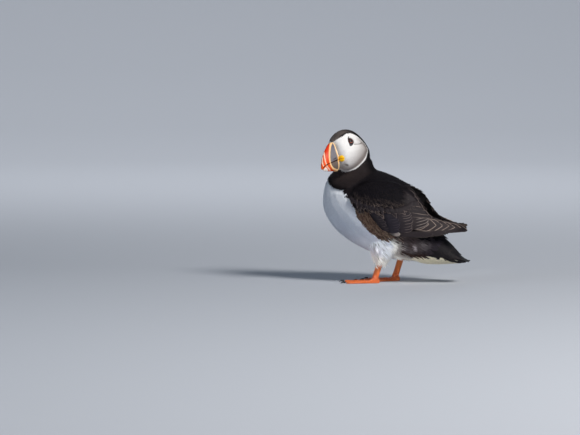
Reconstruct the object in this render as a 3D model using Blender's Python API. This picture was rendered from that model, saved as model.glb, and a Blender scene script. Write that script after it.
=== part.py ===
"""Atlantic puffin: a still, life-size standing model, as solids for a shared parts library.

A Blender 4.5 script in metres with +Z up. The bird stands on z = 0, faces -X, and turns its head
towards its left side, which is -Y. The body is one loft, parted by thin cuts into neck, trunk and
tail. The head is a second loft in a frame of its own, whose axes are forward, left and up, with
its origin on the middle plane just behind the eyes. Lengths below are in millimetres and MM turns them into metres.
"""

import math

import bmesh
import bpy
import numpy as np
from mathutils import Matrix, Vector
from mathutils.bvhtree import BVHTree

MM = 0.001
GAP = 0.3  # clearance left between neighbouring solids
SIDES = {"left": -1.0, "right": 1.0}  # which way each side lies along Y

# Body: each station is (back x, z), (belly x, z), half width, shift along Y.
BODY = (
    ((-37.0, 164.0), (-72.0, 150.0), 14.0, -8.0),
    ((-31.0, 156.5), (-79.0, 141.5), 21.0, -5.5),
    ((-29.0, 149.0), (-87.0, 132.0), 26.5, -3.0),
    ((-26.0, 143.5), (-92.5, 118.0), 32.0, -1.0),
    ((-19.0, 141.5), (-94.5, 103.0), 37.0, 0.0),
    ((-8.0, 137.5), (-92.5, 89.5), 40.5, 0.0),
    ((5.0, 131.0), (-85.0, 75.0), 43.0, 0.0),
    ((16.0, 124.0), (-73.0, 61.5), 44.5, 0.0),
    ((25.5, 112.5), (-58.0, 50.5), 45.0, 0.0),
    ((34.0, 98.5), (-41.0, 41.5), 43.5, 0.0),
    ((41.5, 83.5), (-22.0, 34.5), 40.5, 0.0),
    ((50.0, 71.5), (-2.0, 30.5), 36.0, 0.0),
    ((58.0, 61.5), (18.0, 27.5), 30.5, 0.0),
    ((65.5, 54.5), (37.0, 24.5), 25.0, 0.0),
    ((73.0, 46.0), (54.0, 24.0), 21.0, 0.0),
    ((81.0, 37.0), (68.5, 25.0), 18.5, 0.0),
    ((88.5, 31.0), (82.0, 26.0), 16.5, 0.0),
    ((95.5, 28.2), (94.0, 26.6), 11.0, 0.0),
)
BODY_RINGS = 28
BODY_SIDES = 28
COLLAR_CUT = ((-25.5, 143.4), (-91.8, 120.5))  # back and throat points of the neck's lower end
TAIL_CUT = ((60.5, 61.0), (30.0, 25.5))  # rump and vent points of the tail's root

# Head frame: place of its origin, and how the head is turned.
HEAD_AT = (-66.1, -17.0, 178.0)
HEAD_TURN = 58.0  # degrees towards the bird's left
HEAD_NOD = 12.3  # degrees, bill down
HEAD_TILT = 9.6  # degrees, left side up
# Each station is (crown forward, up), (throat forward, up), half width.
HEAD = (
    ((20.5, 4.2), (25.8, -30.2), 9.2),
    ((18.6, 8.0), (23.0, -33.6), 14.6),
    ((14.8, 11.4), (18.0, -36.8), 17.6),
    ((8.0, 14.2), (11.0, -39.5), 19.2),
    ((0.0, 15.6), (2.0, -41.5), 20.0),
    ((-8.0, 15.0), (-7.0, -43.0), 20.4),
    ((-15.5, 12.6), (-15.0, -43.5), 20.2),
    ((-22.0, 7.8), (-21.5, -43.0), 19.0),
    ((-27.0, 1.6), (-26.5, -40.5), 16.4),
    ((-30.4, -6.0), (-30.0, -36.0), 11.8),
    ((-32.0, -14.0), (-32.0, -29.0), 6.0),
)
HEAD_RINGS = 20
HEAD_PEAR = 0.25  # how much narrower the head is towards the crown
HEAD_SIDES = 24

# Upper and lower bill in the head frame: (outer edge forward, up), (mouth line), half width.
UPPER_BILL = (
    ((20.9, 4.5), (24.2, -17.0), 8.3),
    ((25.0, 5.1), (26.6, -17.0), 7.9),
    ((30.2, 3.1), (30.6, -17.1), 7.2),
    ((35.6, -0.2), (35.0, -17.3), 6.4),
    ((40.8, -4.2), (39.5, -17.6), 5.4),
    ((45.5, -9.0), (43.8, -18.0), 4.3),
    ((49.0, -14.0), (47.3, -18.8), 3.1),
    ((51.4, -18.4), (50.2, -20.3), 1.9),
    ((52.7, -22.3), (51.7, -22.5), 0.8),
)
LOWER_BILL = (
    ((26.3, -30.2), (24.3, -17.3), 8.2),
    ((29.6, -29.2), (27.5, -17.4), 7.7),
    ((34.0, -27.9), (32.4, -17.5), 6.8),
    ((38.4, -26.6), (37.2, -17.8), 5.7),
    ((42.8, -25.3), (42.0, -18.2), 4.4),
    ((46.8, -24.1), (46.4, -19.1), 2.9),
    ((49.7, -22.9), (49.4, -20.6), 1.3),
)
BILL_SIDES = 14

EYE_RADIUS = 4.6
EYE_AT = (1.6, 12.8, -0.9)  # centre of the left eye: forward, left, up
BROW_PLATE = ((0.1, 5.6), (4.8, 2.8), (-2.3, 2.6))
UNDER_PLATE = ((5.0, -4.6), (4.2, -6.6), (-4.0, -5.9), (-3.6, -4.4))
PLATE_STAND = 0.9  # how far a horny plate stands out from the feathers
ROSETTE_AT = (21.6, 8.0, -17.2)
ROSETTE_RADII = (3.5, 2.4, 3.9)

# Wing outline from shoulder to tip: (lower x, z), (upper x, z), and how far out each edge lies
# where it is clear of the trunk.
WING = (
    ((-50.5, 110.0), (-48.8, 119.5), 28.0, 18.0),
    ((-44.7, 99.0), (-36.5, 128.0), 32.0, 16.0),
    ((-36.4, 88.0), (-20.0, 131.0), 36.0, 17.0),
    ((-27.0, 78.0), (-1.5, 128.5), 39.0, 21.0),
    ((-14.0, 68.5), (14.5, 121.5), 41.0, 25.0),
    ((5.0, 62.0), (26.0, 113.0), 41.5, 27.0),
    ((26.4, 61.0), (36.0, 101.0), 39.5, 26.5),
    ((48.7, 62.5), (46.0, 87.4), 34.0, 24.0),
    ((66.9, 65.0), (59.5, 81.5), 27.5, 20.5),
    ((81.5, 68.3), (75.5, 78.3), 21.5, 17.5),
    ((92.5, 73.2), (92.0, 76.4), 16.5, 15.5),
)
WING_RINGS = 22
WING_STRIPS = 9
WING_FULLNESS = 5.2  # how far the wing's middle stands out from the trunk
WING_EDGE = 1.3
WING_BLEND = 1.6  # how softly the wing passes from lying on the trunk to lying free
WING_THIN = (0.40, 0.70)  # parts of its length between which the wing thins to a blade
RIGHT_TIP = (-7.0, -7.5)  # the right wing's tip stops this much short and hangs this much lower
RIGHT_SHIFT = (3.0, 1.8)  # and its middle lies this much further back and up

# Thigh: each station is centre x, z, distance from the middle plane, half length, half width.
THIGH = (
    (-15.0, 60.0, 21.0, 25.0, 15.0),
    (-14.5, 50.0, 24.5, 21.0, 15.5),
    (-14.0, 41.0, 25.0, 16.0, 13.0),
    (-15.5, 33.0, 22.5, 11.5, 10.5),
    (-17.5, 26.5, 20.0, 7.6, 7.6),
    (-19.0, 21.5, 18.5, 5.4, 5.4),
)
THIGH_SIDES = 18
TARSUS_RADII = (4.1, 2.8)  # fore and aft, across
# Legs: knee end and ankle of the tarsus, (x, distance from the middle plane, z), and toe heading.
LEGS = {
    "left": ((-18.0, 18.0, 27.0), (-25.5, 18.5, 4.0), -4.0),
    "right": ((5.0, 18.0, 31.5), (-3.5, 18.5, 4.0), -8.0),
}
THIGH_SHIFT = {"left": (0.0, 0.0), "right": (23.0, 8.0)}

# Foot: toes as (angle from the foot's heading, length, thickness), from the inner one outwards.
TOES = ((-27.0, 29.0, 4.2), (-2.0, 39.0, 4.8), (23.0, 37.0, 4.4))
FOOT_HEEL = 8.5  # the toes spread from a point this far behind the ankle
FOOT_ANKLE = 6.2  # height of the foot at the ankle
WEB = 1.1
WEB_SCALLOP = 3.2
FOOT_RINGS = 10
FOOT_RAYS = 19
CLAW = (6.5, 1.5)  # length and root radius
CLAW_LIFT = 0.4  # the claws clear the floor by this much

FINISHES = {
    "head": ((0.62, 0.60, 0.58), 0.80),
    "neck": ((0.030, 0.025, 0.024), 0.85),
    "trunk": ((0.75, 0.76, 0.78), 0.85),
    "tail": ((0.030, 0.030, 0.036), 0.75),
    "wing": ((0.050, 0.042, 0.040), 0.75),
    "thigh": ((0.80, 0.79, 0.76), 0.85),
    "tarsus": ((0.80, 0.24, 0.05), 0.50),
    "foot": ((0.85, 0.27, 0.06), 0.50),
    "claw": ((0.020, 0.018, 0.016), 0.35),
    "bill": ((0.80, 0.16, 0.04), 0.35),
    "gape": ((0.95, 0.50, 0.03), 0.45),
    "eye": ((0.030, 0.020, 0.018), 0.08),
    "brow": ((0.060, 0.055, 0.060), 0.55),
    "under": ((0.060, 0.055, 0.060), 0.55),
}


def clear_scene():
    """Removes every object, so that the script always starts from nothing."""
    for obj in list(bpy.data.objects):
        bpy.data.objects.remove(obj, do_unlink=True)


def finish(name):
    """The material for the piece of this name, made on first use."""
    kind = name.split("_")[0]
    found = bpy.data.materials.get(kind)
    if found:
        return found
    colour, roughness = FINISHES[kind]
    made = bpy.data.materials.new(kind)
    made.use_nodes = True
    shader = made.node_tree.nodes["Principled BSDF"]
    shader.inputs["Base Color"].default_value = (*colour, 1.0)
    shader.inputs["Roughness"].default_value = roughness
    shader.inputs["Metallic"].default_value = 0.0
    return made


def smooth_rows(rows, count):
    """Rows of numbers spaced evenly along a Catmull-Rom curve through the given rows."""
    given = np.array([np.hstack([np.ravel(part) for part in row]) for row in rows])
    padded = np.vstack([2 * given[0] - given[1], given, 2 * given[-1] - given[-2]])
    made = []
    for place in np.linspace(0.0, len(given) - 1.0, count):
        span = min(int(place), len(given) - 2)
        t = place - span
        a, b, c, d = padded[span : span + 4]
        linear = (c - a) * t
        square = (2 * a - 5 * b + 4 * c - d) * t * t
        cube = (3 * b - a - 3 * c + d) * t**3
        made.append(b + 0.5 * (linear + square + cube))
    return made


def signed_power(value, power):
    """The power of a number's size, with its sign kept."""
    return math.copysign(abs(value) ** power, value)


def oval(back, belly, across, sides, power=0.95, pear=0.0):
    """A ring through back and belly, as wide as across half-way and narrower above by pear."""
    middle = (back + belly) / 2
    up = (back - belly) / 2
    ring = []
    for k in range(sides):
        turn = 2 * math.pi * k / sides
        lift = signed_power(math.cos(turn), power)
        out = signed_power(math.sin(turn), power) * (1.0 - pear * max(lift, 0.0))
        ring.append(middle + up * lift + across * out)
    return ring


def loft(rings):
    """A closed mesh through rings of equal count, with a flat cap at each end."""
    made = bmesh.new()
    grid = [[made.verts.new(point) for point in ring] for ring in rings]
    count = len(grid[0])
    for near, far in zip(grid, grid[1:]):
        for k in range(count):
            after = (k + 1) % count
            made.faces.new((near[k], near[after], far[after], far[k]))
    made.faces.new(grid[0])
    made.faces.new(grid[-1])
    bmesh.ops.recalc_face_normals(made, faces=made.faces)
    return made


def grown(source, distance):
    """A copy of a mesh, every vertex moved outwards by the distance along its normal."""
    made = source.copy()
    made.normal_update()
    moves = [vert.normal * distance for vert in made.verts]
    for vert, move in zip(made.verts, moves):
        vert.co += move
    return made


def to_object(name, mesh_data):
    """An object holding this mesh, still in millimetres."""
    mesh = bpy.data.meshes.new(name)
    mesh_data.to_mesh(mesh)
    obj = bpy.data.objects.new(name, mesh)
    bpy.context.scene.collection.objects.link(obj)
    return obj


def cut_by(body, cutters):
    """The mesh left when the cutters' meshes are taken from a body's mesh."""
    obj = to_object("cut_body", body)
    tools = [to_object("cutter", cutter) for cutter in cutters]
    for tool in tools:
        tool.hide_render = True
        tool.display_type = "WIRE"
        step = obj.modifiers.new("Cut", "BOOLEAN")
        step.operation = "DIFFERENCE"
        step.solver = "EXACT"
        step.object = tool
    graph = bpy.context.evaluated_depsgraph_get()
    made = bmesh.new()
    made.from_mesh(obj.evaluated_get(graph).to_mesh())
    for used in (obj, *tools):
        bpy.data.objects.remove(used, do_unlink=True)
    bmesh.ops.triangulate(made, faces=made.faces)
    bmesh.ops.remove_doubles(made, verts=made.verts, dist=0.004)
    bmesh.ops.dissolve_degenerate(made, edges=made.edges, dist=0.002)
    return made


def place(name, mesh_data, smooth=True):
    """The finished object of a sub-part, in metres, with its own material."""
    obj = to_object(name, mesh_data)
    obj.data.transform(Matrix.Scale(MM, 4))
    obj.data.materials.append(finish(name))
    if smooth:
        obj.data.shade_smooth()
    return obj


def body_mesh():
    """The whole body from throat to tail tip."""
    rings = []
    for back_x, back_z, belly_x, belly_z, half, shift in smooth_rows(BODY, BODY_RINGS):
        back = Vector((back_x, shift, back_z))
        belly = Vector((belly_x, shift, belly_z))
        rings.append(oval(back, belly, Vector((0, half, 0)), BODY_SIDES))
    return loft(rings)


def cut_plane(ends):
    """Point and normal of the plane through two points of the middle plane, square to it."""
    back, belly = (Vector((x, 0.0, z)) for x, z in ends)
    normal = (belly - back).cross(Vector((0, 1, 0))).normalized()
    return back, normal


def slab(source, start, end):
    """The part of a mesh past the plane start and short of the plane end, with flat ends."""
    made = source.copy()
    for plane, side in ((start, 1.0), (end, -1.0)):
        if plane is None:
            continue
        point, normal = plane
        away = normal * side
        everything = made.verts[:] + made.edges[:] + made.faces[:]
        result = bmesh.ops.bisect_plane(
            made,
            geom=everything,
            plane_co=point + away * GAP / 2,
            plane_no=away,
            clear_inner=True,
        )
        edges = [item for item in result["geom_cut"] if isinstance(item, bmesh.types.BMEdge)]
        bmesh.ops.contextual_create(made, geom=edges)
    bmesh.ops.recalc_face_normals(made, faces=made.faces)
    return made


def head_frame():
    """The matrix from the head's own axes to the world."""
    turn = Matrix.Rotation(math.radians(180.0 + HEAD_TURN), 4, "Z")
    nod = Matrix.Rotation(math.radians(HEAD_NOD), 4, "Y")
    tilt = Matrix.Rotation(math.radians(HEAD_TILT), 4, "X")
    return Matrix.Translation(HEAD_AT) @ turn @ nod @ tilt


def head_mesh():
    """The feathered head, in the head's own axes."""
    rings = []
    for crown_f, crown_u, throat_f, throat_u, half in smooth_rows(HEAD, HEAD_RINGS):
        crown = Vector((crown_f, 0.0, crown_u))
        throat = Vector((throat_f, 0.0, throat_u))
        wide = Vector((0, half, 0))
        rings.append(oval(crown, throat, wide, HEAD_SIDES, 0.92, HEAD_PEAR))
    return loft(rings)


def bill_mesh(stations):
    """One half of the bill, flat along the mouth line and ridged along its outer edge."""
    rings = []
    for edge_f, edge_u, mouth_f, mouth_u, half in smooth_rows(stations, 2 * len(stations) - 1):
        edge = Vector((edge_f, 0.0, edge_u))
        mouth = Vector((mouth_f, 0.0, mouth_u))
        ring = []
        for k in range(BILL_SIDES + 1):
            turn = math.pi * k / BILL_SIDES
            out = Vector((0, half * signed_power(math.cos(turn), 1.15), 0))
            ring.append(mouth + (edge - mouth) * math.sin(turn) ** 1.05 + out)
        rings.append(ring)
    return loft(rings)


def ball(centre, radii, rings=9, sides=14):
    """An egg shape with its poles on the left and right."""
    made = bmesh.new()
    shape = Matrix.Translation(centre) @ Matrix.Diagonal((*radii, 1.0))
    shape = shape @ Matrix.Rotation(math.pi / 2, 4, "X")
    bmesh.ops.create_uvsphere(made, u_segments=sides, v_segments=rings, radius=1.0, matrix=shape)
    bmesh.ops.recalc_face_normals(made, faces=made.faces)
    return made


def for_side(source, side):
    """A copy of a mesh made for the left side, with Y turned over for the right side."""
    made = source.copy()
    if side == "left":
        return made
    bmesh.ops.scale(made, vec=(1.0, -1.0, 1.0), verts=made.verts)
    bmesh.ops.reverse_faces(made, faces=made.faces)
    return made


def surface_out(tree, point):
    """How far the surface seen from the left lies from the head's middle at (forward, up)."""
    hit = tree.ray_cast(Vector((point[0], 60.0, point[1])), Vector((0.0, -1.0, 0.0)))
    return hit[0].y


def plate_mesh(outline, tree):
    """A horny plate by the left eye: a thin prism that reaches under the feathers."""
    reach = [surface_out(tree, point) for point in outline]
    inner = [Vector((f, out - 1.5, u)) for (f, u), out in zip(outline, reach)]
    outer = [Vector((f, out + PLATE_STAND, u)) for (f, u), out in zip(outline, reach)]
    return loft([inner, outer])


def wing_shift(along):
    """How far the right wing lies behind and above the left one's place, along its length."""
    middle = smooth_step(0.3, 0.55, along)
    tip = max(2 * along - 1.0, 0.0) ** 2
    return tuple(mid * middle + end * tip for mid, end in zip(RIGHT_SHIFT, RIGHT_TIP))


def wing_mesh(body_tree, sign):
    """A folded wing, its inner face sunk in the trunk near the shoulder and free at the tip."""
    outer = []
    inner = []
    rows = smooth_rows(WING, WING_RINGS)
    for i, (low_x, low_z, up_x, up_z, low_y, up_y) in enumerate(rows):
        along = i / (WING_RINGS - 1)
        thin = smooth_step(WING_THIN[0], WING_THIN[1], along)
        full = smooth_step(-0.05, 0.25, along) * (1.0 - 0.75 * thin)
        shift = wing_shift(along) if sign > 0 else (0.0, 0.0)
        outer_row = []
        inner_row = []
        for j in range(WING_STRIPS + 1):
            across = j / WING_STRIPS
            x = low_x + (up_x - low_x) * across
            z = low_z + (up_z - low_z) * across
            bulge = math.sin(math.pi * across) ** 0.7
            stand = WING_EDGE * (1.0 - 0.3 * thin) + (WING_FULLNESS - WING_EDGE) * bulge * full
            free = low_y + (up_y - low_y) * across**1.5 + 3.0 * bulge
            start = Vector((x + shift[0], 90.0, z + shift[1]))
            hit = body_tree.ray_cast(start, Vector((0.0, -1.0, 0.0)))
            held = hit[0].y + stand if hit[0] else 0.0
            y = WING_BLEND * math.log(math.exp(held / WING_BLEND) + math.exp(free / WING_BLEND))
            thick = stand + 4.0 * (1.0 - thin)
            outer_row.append(Vector((x + shift[0], y * sign, z + shift[1])))
            inner_row.append(Vector((x + shift[0], (y - thick) * sign, z + shift[1])))
        outer.append(outer_row)
        inner.append(inner_row)
    return loft([near + far[::-1] for near, far in zip(outer, inner)])


def smooth_step(start, end, value):
    """Rises from 0 at start to 1 at end, level at both."""
    t = min(max((value - start) / (end - start), 0.0), 1.0)
    return t * t * (3.0 - 2.0 * t)


def thigh_mesh(side):
    """The feathered thigh, reaching up into the trunk."""
    shift_x, shift_z = THIGH_SHIFT[side]
    rings = []
    for x, z, out, length, width in smooth_rows(THIGH, 9):
        centre = Vector((x + shift_x, out * SIDES[side], z + shift_z))
        front = centre + Vector((-length, 0, 0))
        rear = centre + Vector((length, 0, 0))
        rings.append(oval(front, rear, Vector((0, width, 0)), THIGH_SIDES, 1.0))
    return loft(rings)


def tarsus_mesh(side):
    """The bare leg from the thigh feathers to the foot."""
    knee, ankle, _ = LEGS[side]
    top, base = (Vector((x, out * SIDES[side], z)) for x, out, z in (knee, ankle))
    rings = []
    for k in range(7):
        t = k / 6
        centre = top.lerp(base, t)
        swell = 1.0 + 0.22 * (2 * t - 1) ** 4
        fore = Vector((TARSUS_RADII[0] * swell, 0, 0))
        wide = Vector((0, TARSUS_RADII[1] * swell, 0))
        rings.append(oval(centre + fore, centre - fore, wide, 14, 1.0))
    return loft(rings)


def foot_height(radius, angle):
    """Height of the foot above the floor, at a place seen from the point its toes spread from."""
    height = WEB
    for toe_angle, length, thickness in TOES:
        aside = radius * math.sin(math.radians(angle - toe_angle))
        knuckle = 1.0 + 0.10 * math.cos(2 * math.pi * radius / 11.0)
        taper = 1.0 - 0.35 * min(radius / (length + FOOT_HEEL), 1.0)
        toe = thickness * taper * knuckle * math.exp(-((aside / 2.1) ** 2))
        height = max(height, toe)
    ankle = FOOT_ANKLE * math.exp(-(((radius - FOOT_HEEL) / 7.0) ** 4))
    return max(height, ankle)


def foot_reach(angle):
    """How far the foot reaches at an angle: long at each toe, scalloped along the webs."""
    for (near_angle, near, _), (far_angle, far, _) in zip(TOES, TOES[1:]):
        if near_angle <= angle <= far_angle:
            t = (angle - near_angle) / (far_angle - near_angle)
            return FOOT_HEEL + near + (far - near) * t - WEB_SCALLOP * math.sin(math.pi * t) ** 0.6
    nearest = min(TOES, key=lambda toe: abs(toe[0] - angle))
    return FOOT_HEEL + nearest[1] - 1.6 * abs(angle - nearest[0])


def foot_frame(side):
    """The matrix from a foot's own axes, with its heading along +X, to the world."""
    _, ankle, heading = LEGS[side]
    turn = Matrix.Rotation(math.radians(180.0 - heading * SIDES[side]), 4, "Z")
    flip = Matrix.Diagonal((1.0, -SIDES[side], 1.0, 1.0))
    return Matrix.Translation((ankle[0], ankle[1] * SIDES[side], 0.0)) @ turn @ flip


def foot_mesh(side):
    """A webbed foot: a flat sole, with three toes rising from the web above it."""
    first = TOES[0][0] - 3.5
    last = TOES[-1][0] + 3.5
    made = bmesh.new()
    top = []
    for i in range(FOOT_RAYS):
        angle = first + (last - first) * i / (FOOT_RAYS - 1)
        reach = foot_reach(angle)
        row = []
        for j in range(FOOT_RINGS):
            radius = 2.0 + (reach - 2.0) * j / (FOOT_RINGS - 1)
            x = radius * math.cos(math.radians(angle)) - FOOT_HEEL
            y = radius * math.sin(math.radians(angle))
            row.append(made.verts.new((x, y, foot_height(radius, angle))))
        top.append(row)
    for near, far in zip(top, top[1:]):
        for j in range(FOOT_RINGS - 1):
            made.faces.new((near[j], near[j + 1], far[j + 1], far[j]))
    rim = top[0] + [row[-1] for row in top[1:-1]] + top[-1][::-1]
    rim += [row[0] for row in top[-2:0:-1]]
    sole = [made.verts.new((vert.co.x, vert.co.y, 0.0)) for vert in rim]
    for k in range(len(rim)):
        after = (k + 1) % len(rim)
        made.faces.new((rim[k], rim[after], sole[after], sole[k]))
    made.faces.new(sole)
    bmesh.ops.transform(made, matrix=foot_frame(side), verts=made.verts)
    bmesh.ops.recalc_face_normals(made, faces=made.faces)
    return made


def claw_mesh(side, toe):
    """A curved claw at a toe's tip, its point just clear of the floor."""
    angle, reach, thickness = toe
    length, root = CLAW
    frame = foot_frame(side) @ Matrix.Translation((-FOOT_HEEL, 0, 0))
    frame = frame @ Matrix.Rotation(math.radians(angle), 4, "Z")
    start = reach + FOOT_HEEL + GAP
    rings = []
    for k in range(6):
        t = k / 5
        radius = root * (1.0 - 0.86 * t)
        height = CLAW_LIFT + radius + 1.3 * math.cos(math.pi * t / 2) * t * 2.0
        centre = Vector((start + length * t, 0.0, height))
        lean = Vector((0.5 * radius * t, 0, radius))
        rings.append(oval(centre + lean, centre - lean, Vector((0, radius * 0.8, 0)), 8, 1.0))
    made = loft(rings)
    bmesh.ops.transform(made, matrix=frame, verts=made.verts)
    bmesh.ops.recalc_face_normals(made, faces=made.faces)
    return made


def build_body(skull):
    """Neck, trunk and tail from one loft, parted by two thin cuts."""
    whole = body_mesh()
    collar = cut_plane(COLLAR_CUT)
    rump = cut_plane(TAIL_CUT)
    neck = slab(whole, None, collar)
    pocket = grown(skull, GAP)
    place("neck", cut_by(neck, [pocket]))
    place("trunk", slab(whole, collar, rump))
    place("tail", slab(whole, rump, None))
    return whole


def build_head():
    """Head, eyes, horny plates, bill and gape rosettes; gives back the head in the world."""
    frame = head_frame()
    head = head_mesh()
    tree = BVHTree.FromBMesh(head)
    skull = head.copy()
    bmesh.ops.transform(skull, matrix=frame, verts=skull.verts)
    sockets = []
    pieces = {}
    bills = {"bill_upper": bill_mesh(UPPER_BILL), "bill_lower": bill_mesh(LOWER_BILL)}
    covers = [grown(head, GAP)] + [grown(bill, GAP) for bill in bills.values()]
    pieces.update(bills)
    eye = ball(EYE_AT, (EYE_RADIUS,) * 3, rings=10, sides=16)
    rosette = ball(ROSETTE_AT, ROSETTE_RADII)
    brow = plate_mesh(BROW_PLATE, tree)
    under = plate_mesh(UNDER_PLATE, tree)
    for side in SIDES:
        socket = for_side(grown(eye, GAP), side)
        sockets.append(socket)
        pieces[f"eye_{side}"] = for_side(eye, side)
        pieces[f"gape_rosette_{side}"] = cut_by(for_side(rosette, side), covers)
        pieces[f"brow_plate_{side}"] = cut_by(for_side(brow, side), [covers[0], socket])
        pieces[f"under_plate_{side}"] = cut_by(for_side(under, side), [covers[0], socket])
    pieces["head"] = cut_by(head, sockets)
    for name, piece in pieces.items():
        bmesh.ops.transform(piece, matrix=frame, verts=piece.verts)
        place(name, piece, smooth=not name.startswith(("brow", "under")))
    return skull


def build_wings(body):
    """The two folded wings, their inner faces fitted to the body."""
    tree = BVHTree.FromBMesh(body)
    cover = grown(body, GAP)
    for side, sign in SIDES.items():
        place(f"wing_{side}", cut_by(wing_mesh(tree, sign), [cover]))


def build_legs(body):
    """Thighs, bare legs, webbed feet and claws."""
    cover = grown(body, GAP)
    for side in SIDES:
        tarsus = tarsus_mesh(side)
        foot = foot_mesh(side)
        place(f"thigh_{side}", cut_by(thigh_mesh(side), [cover, grown(tarsus, GAP)]))
        place(f"tarsus_{side}", cut_by(tarsus, [grown(foot, GAP), cover]))
        place(f"foot_{side}", foot)
        for toe_name, toe in zip(("inner", "middle", "outer"), TOES):
            place(f"claw_{side}_{toe_name}", claw_mesh(side, toe))


def main():
    """Builds the bird, then sets the middle of its base on the origin."""
    clear_scene()
    skull = build_head()
    body = build_body(skull)
    build_wings(body)
    build_legs(body)
    made = [obj for obj in bpy.context.scene.objects if obj.type == "MESH"]
    corners = np.array([tuple(vert.co) for obj in made for vert in obj.data.vertices])
    low, high = corners.min(axis=0), corners.max(axis=0)
    shift = Vector((-(low[0] + high[0]) / 2, -(low[1] + high[1]) / 2, -low[2]))
    for obj in made:
        obj.data.transform(Matrix.Translation(shift))


main()
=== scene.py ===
"""An Atlantic puffin as a life-size still model: skin, feathers, bill, eyes and feet.

Every shape is worked out in millimetres in the bird's own axes (forward is -X, its left is -Y, up
is +Z) and turned into metres in the row frame when its mesh is written.
"""

import logging
import math
from dataclasses import dataclass, field, fields
from enum import Enum, IntEnum
from functools import cached_property
from typing import ClassVar

import bmesh
import bpy
import numpy as np
from mathutils import Matrix, Vector
from mathutils.bvhtree import BVHTree
from mathutils.kdtree import KDTree


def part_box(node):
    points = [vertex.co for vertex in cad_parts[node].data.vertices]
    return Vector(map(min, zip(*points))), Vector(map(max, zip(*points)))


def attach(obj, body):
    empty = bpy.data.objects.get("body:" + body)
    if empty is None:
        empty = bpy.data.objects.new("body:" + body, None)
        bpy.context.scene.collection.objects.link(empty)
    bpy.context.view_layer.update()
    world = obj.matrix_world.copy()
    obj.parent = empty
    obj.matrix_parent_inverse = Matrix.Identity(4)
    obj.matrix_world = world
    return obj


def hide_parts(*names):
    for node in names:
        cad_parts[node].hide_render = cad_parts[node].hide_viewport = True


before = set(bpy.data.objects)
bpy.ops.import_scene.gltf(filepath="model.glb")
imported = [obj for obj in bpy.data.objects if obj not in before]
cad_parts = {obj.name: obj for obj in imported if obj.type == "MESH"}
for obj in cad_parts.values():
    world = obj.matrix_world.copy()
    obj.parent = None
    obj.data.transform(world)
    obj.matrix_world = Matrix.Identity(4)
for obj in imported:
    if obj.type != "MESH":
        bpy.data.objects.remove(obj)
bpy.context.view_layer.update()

LOG = logging.getLogger("puffin")
MM = 0.001
BAKE_MAP = "OFBake"
BAKE_PATCH = 0.003  # width of one tuft's patch on the unwrap
LAY_MIDDLE = 50.0  # where a shaft lies across its feather's own map, in millimetres
BODY = "root"
SIDES = {"left": -1.0, "right": 1.0}  # which way each side lies along Y
SKULL = (0, 0, -14)  # the skull's middle in the head's axes
SKULL_REACH = 33.0
THIGHS = (((-15, -21, 60), (-19, -18.5, 21.5)), ((8, 21, 68), (4, 18.5, 29.5)))
SCAPULARS = (
    (-56, 110), (-48, 101), (-39.4, 96), (-20.3, 92.5), (5, 88.5), (17, 93),
    (29, 100), (36, 112),
)  # the lower border of the mantle's longest feathers, in the side view
FULL_TURN = 2 * math.pi
Array = np.ndarray
Row = tuple[float, ...]
Rows = tuple[Row, ...]
Made = bmesh.types.BMesh


# ---- numbers and curves


def smooth_step(start: float, end: float, value: Array) -> Array:
    """Rises from 0 at start to 1 at end, level at both.

    Args:
        start: Where the rise begins.
        end: Where it ends; it may lie below start, for a fall.
        value: The places to read it at.

    Returns:
        Numbers from 0 to 1.
    """
    t = np.clip((np.asarray(value, float) - start) / (end - start), 0, 1)
    return t * t * (3.0 - 2.0 * t)


def unit(vectors: Array) -> Array:
    """The vectors made one long."""
    return vectors / np.maximum(np.linalg.norm(vectors, axis=-1, keepdims=True), 1e-9)


def smooth_rows(rows: tuple, count: int) -> Array:
    """Rows of numbers spaced evenly along a Catmull-Rom curve through the given rows.

    Args:
        rows: The rows, each a tuple of numbers or of tuples.
        count: How many rows to return.

    Returns:
        An array of count rows.
    """
    given = np.array([np.hstack([np.ravel(part) for part in row]) for row in rows])
    padded = np.vstack([2 * given[0] - given[1], given, 2 * given[-1] - given[-2]])
    place = np.linspace(0, len(given) - 1, count)
    span = np.minimum(place.astype(int), len(given) - 2)
    t = (place - span)[:, None]
    a, b, c, d = (padded[span + k] for k in range(4))
    cubic = (2 * a - 5 * b + 4 * c - d) * t * t + (3 * b - a - 3 * c + d) * t**3
    return b + 0.5 * ((c - a) * t + cubic)


def tint(red: float, green: float, blue: float) -> Array:
    """A display colour, 0 to 255 in each channel, as linear light."""
    shown = np.array([red, green, blue]) / 255.0
    return np.where(shown > 0.04045, ((shown + 0.055) / 1.055) ** 2.4, shown / 12.92)


def mixed(one: Array, other: Array, weight: Array) -> Array:
    """Colours between one and other, by a weight for each place."""
    weight = np.asarray(weight)[..., None]
    return one * (1.0 - weight) + other * weight


def graded(one: Row, other: Row, weight: Array) -> Array:
    """Colours from one display colour to another, by a weight for each place."""
    return mixed(tint(*one), tint(*other), weight)


def painted(base: Array, *coats: tuple[Row, Array]) -> Array:
    """A base colour with coats laid over it, each a display colour and how much of it shows."""
    for shown, weight in coats:
        base = mixed(base, tint(*shown), weight)
    return base


def along_line(places: Array, line: Array) -> tuple[Array, Array]:
    """How far places lie from a line through points, and how far along it.

    Args:
        places: The places, one in each row.
        line: The line's points.

    Returns:
        The distances, and the position along the line, in points.
    """
    start, step = line[:-1], np.diff(line, axis=0)
    t = ((places[:, None] - start) * step).sum(-1) / (step * step).sum(-1)
    t = np.clip(t, 0, 1)
    away = np.linalg.norm(places[:, None] - start - t[..., None] * step, axis=-1)
    best = away.argmin(1)
    rows = np.arange(len(places))
    return away[rows, best], best + t[rows, best]


def off_thighs(places: Array) -> Array:
    """How far places lie from the nearer thigh's middle."""
    return np.min([along_line(places, np.array(line))[0] for line in THIGHS], axis=0)


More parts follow.
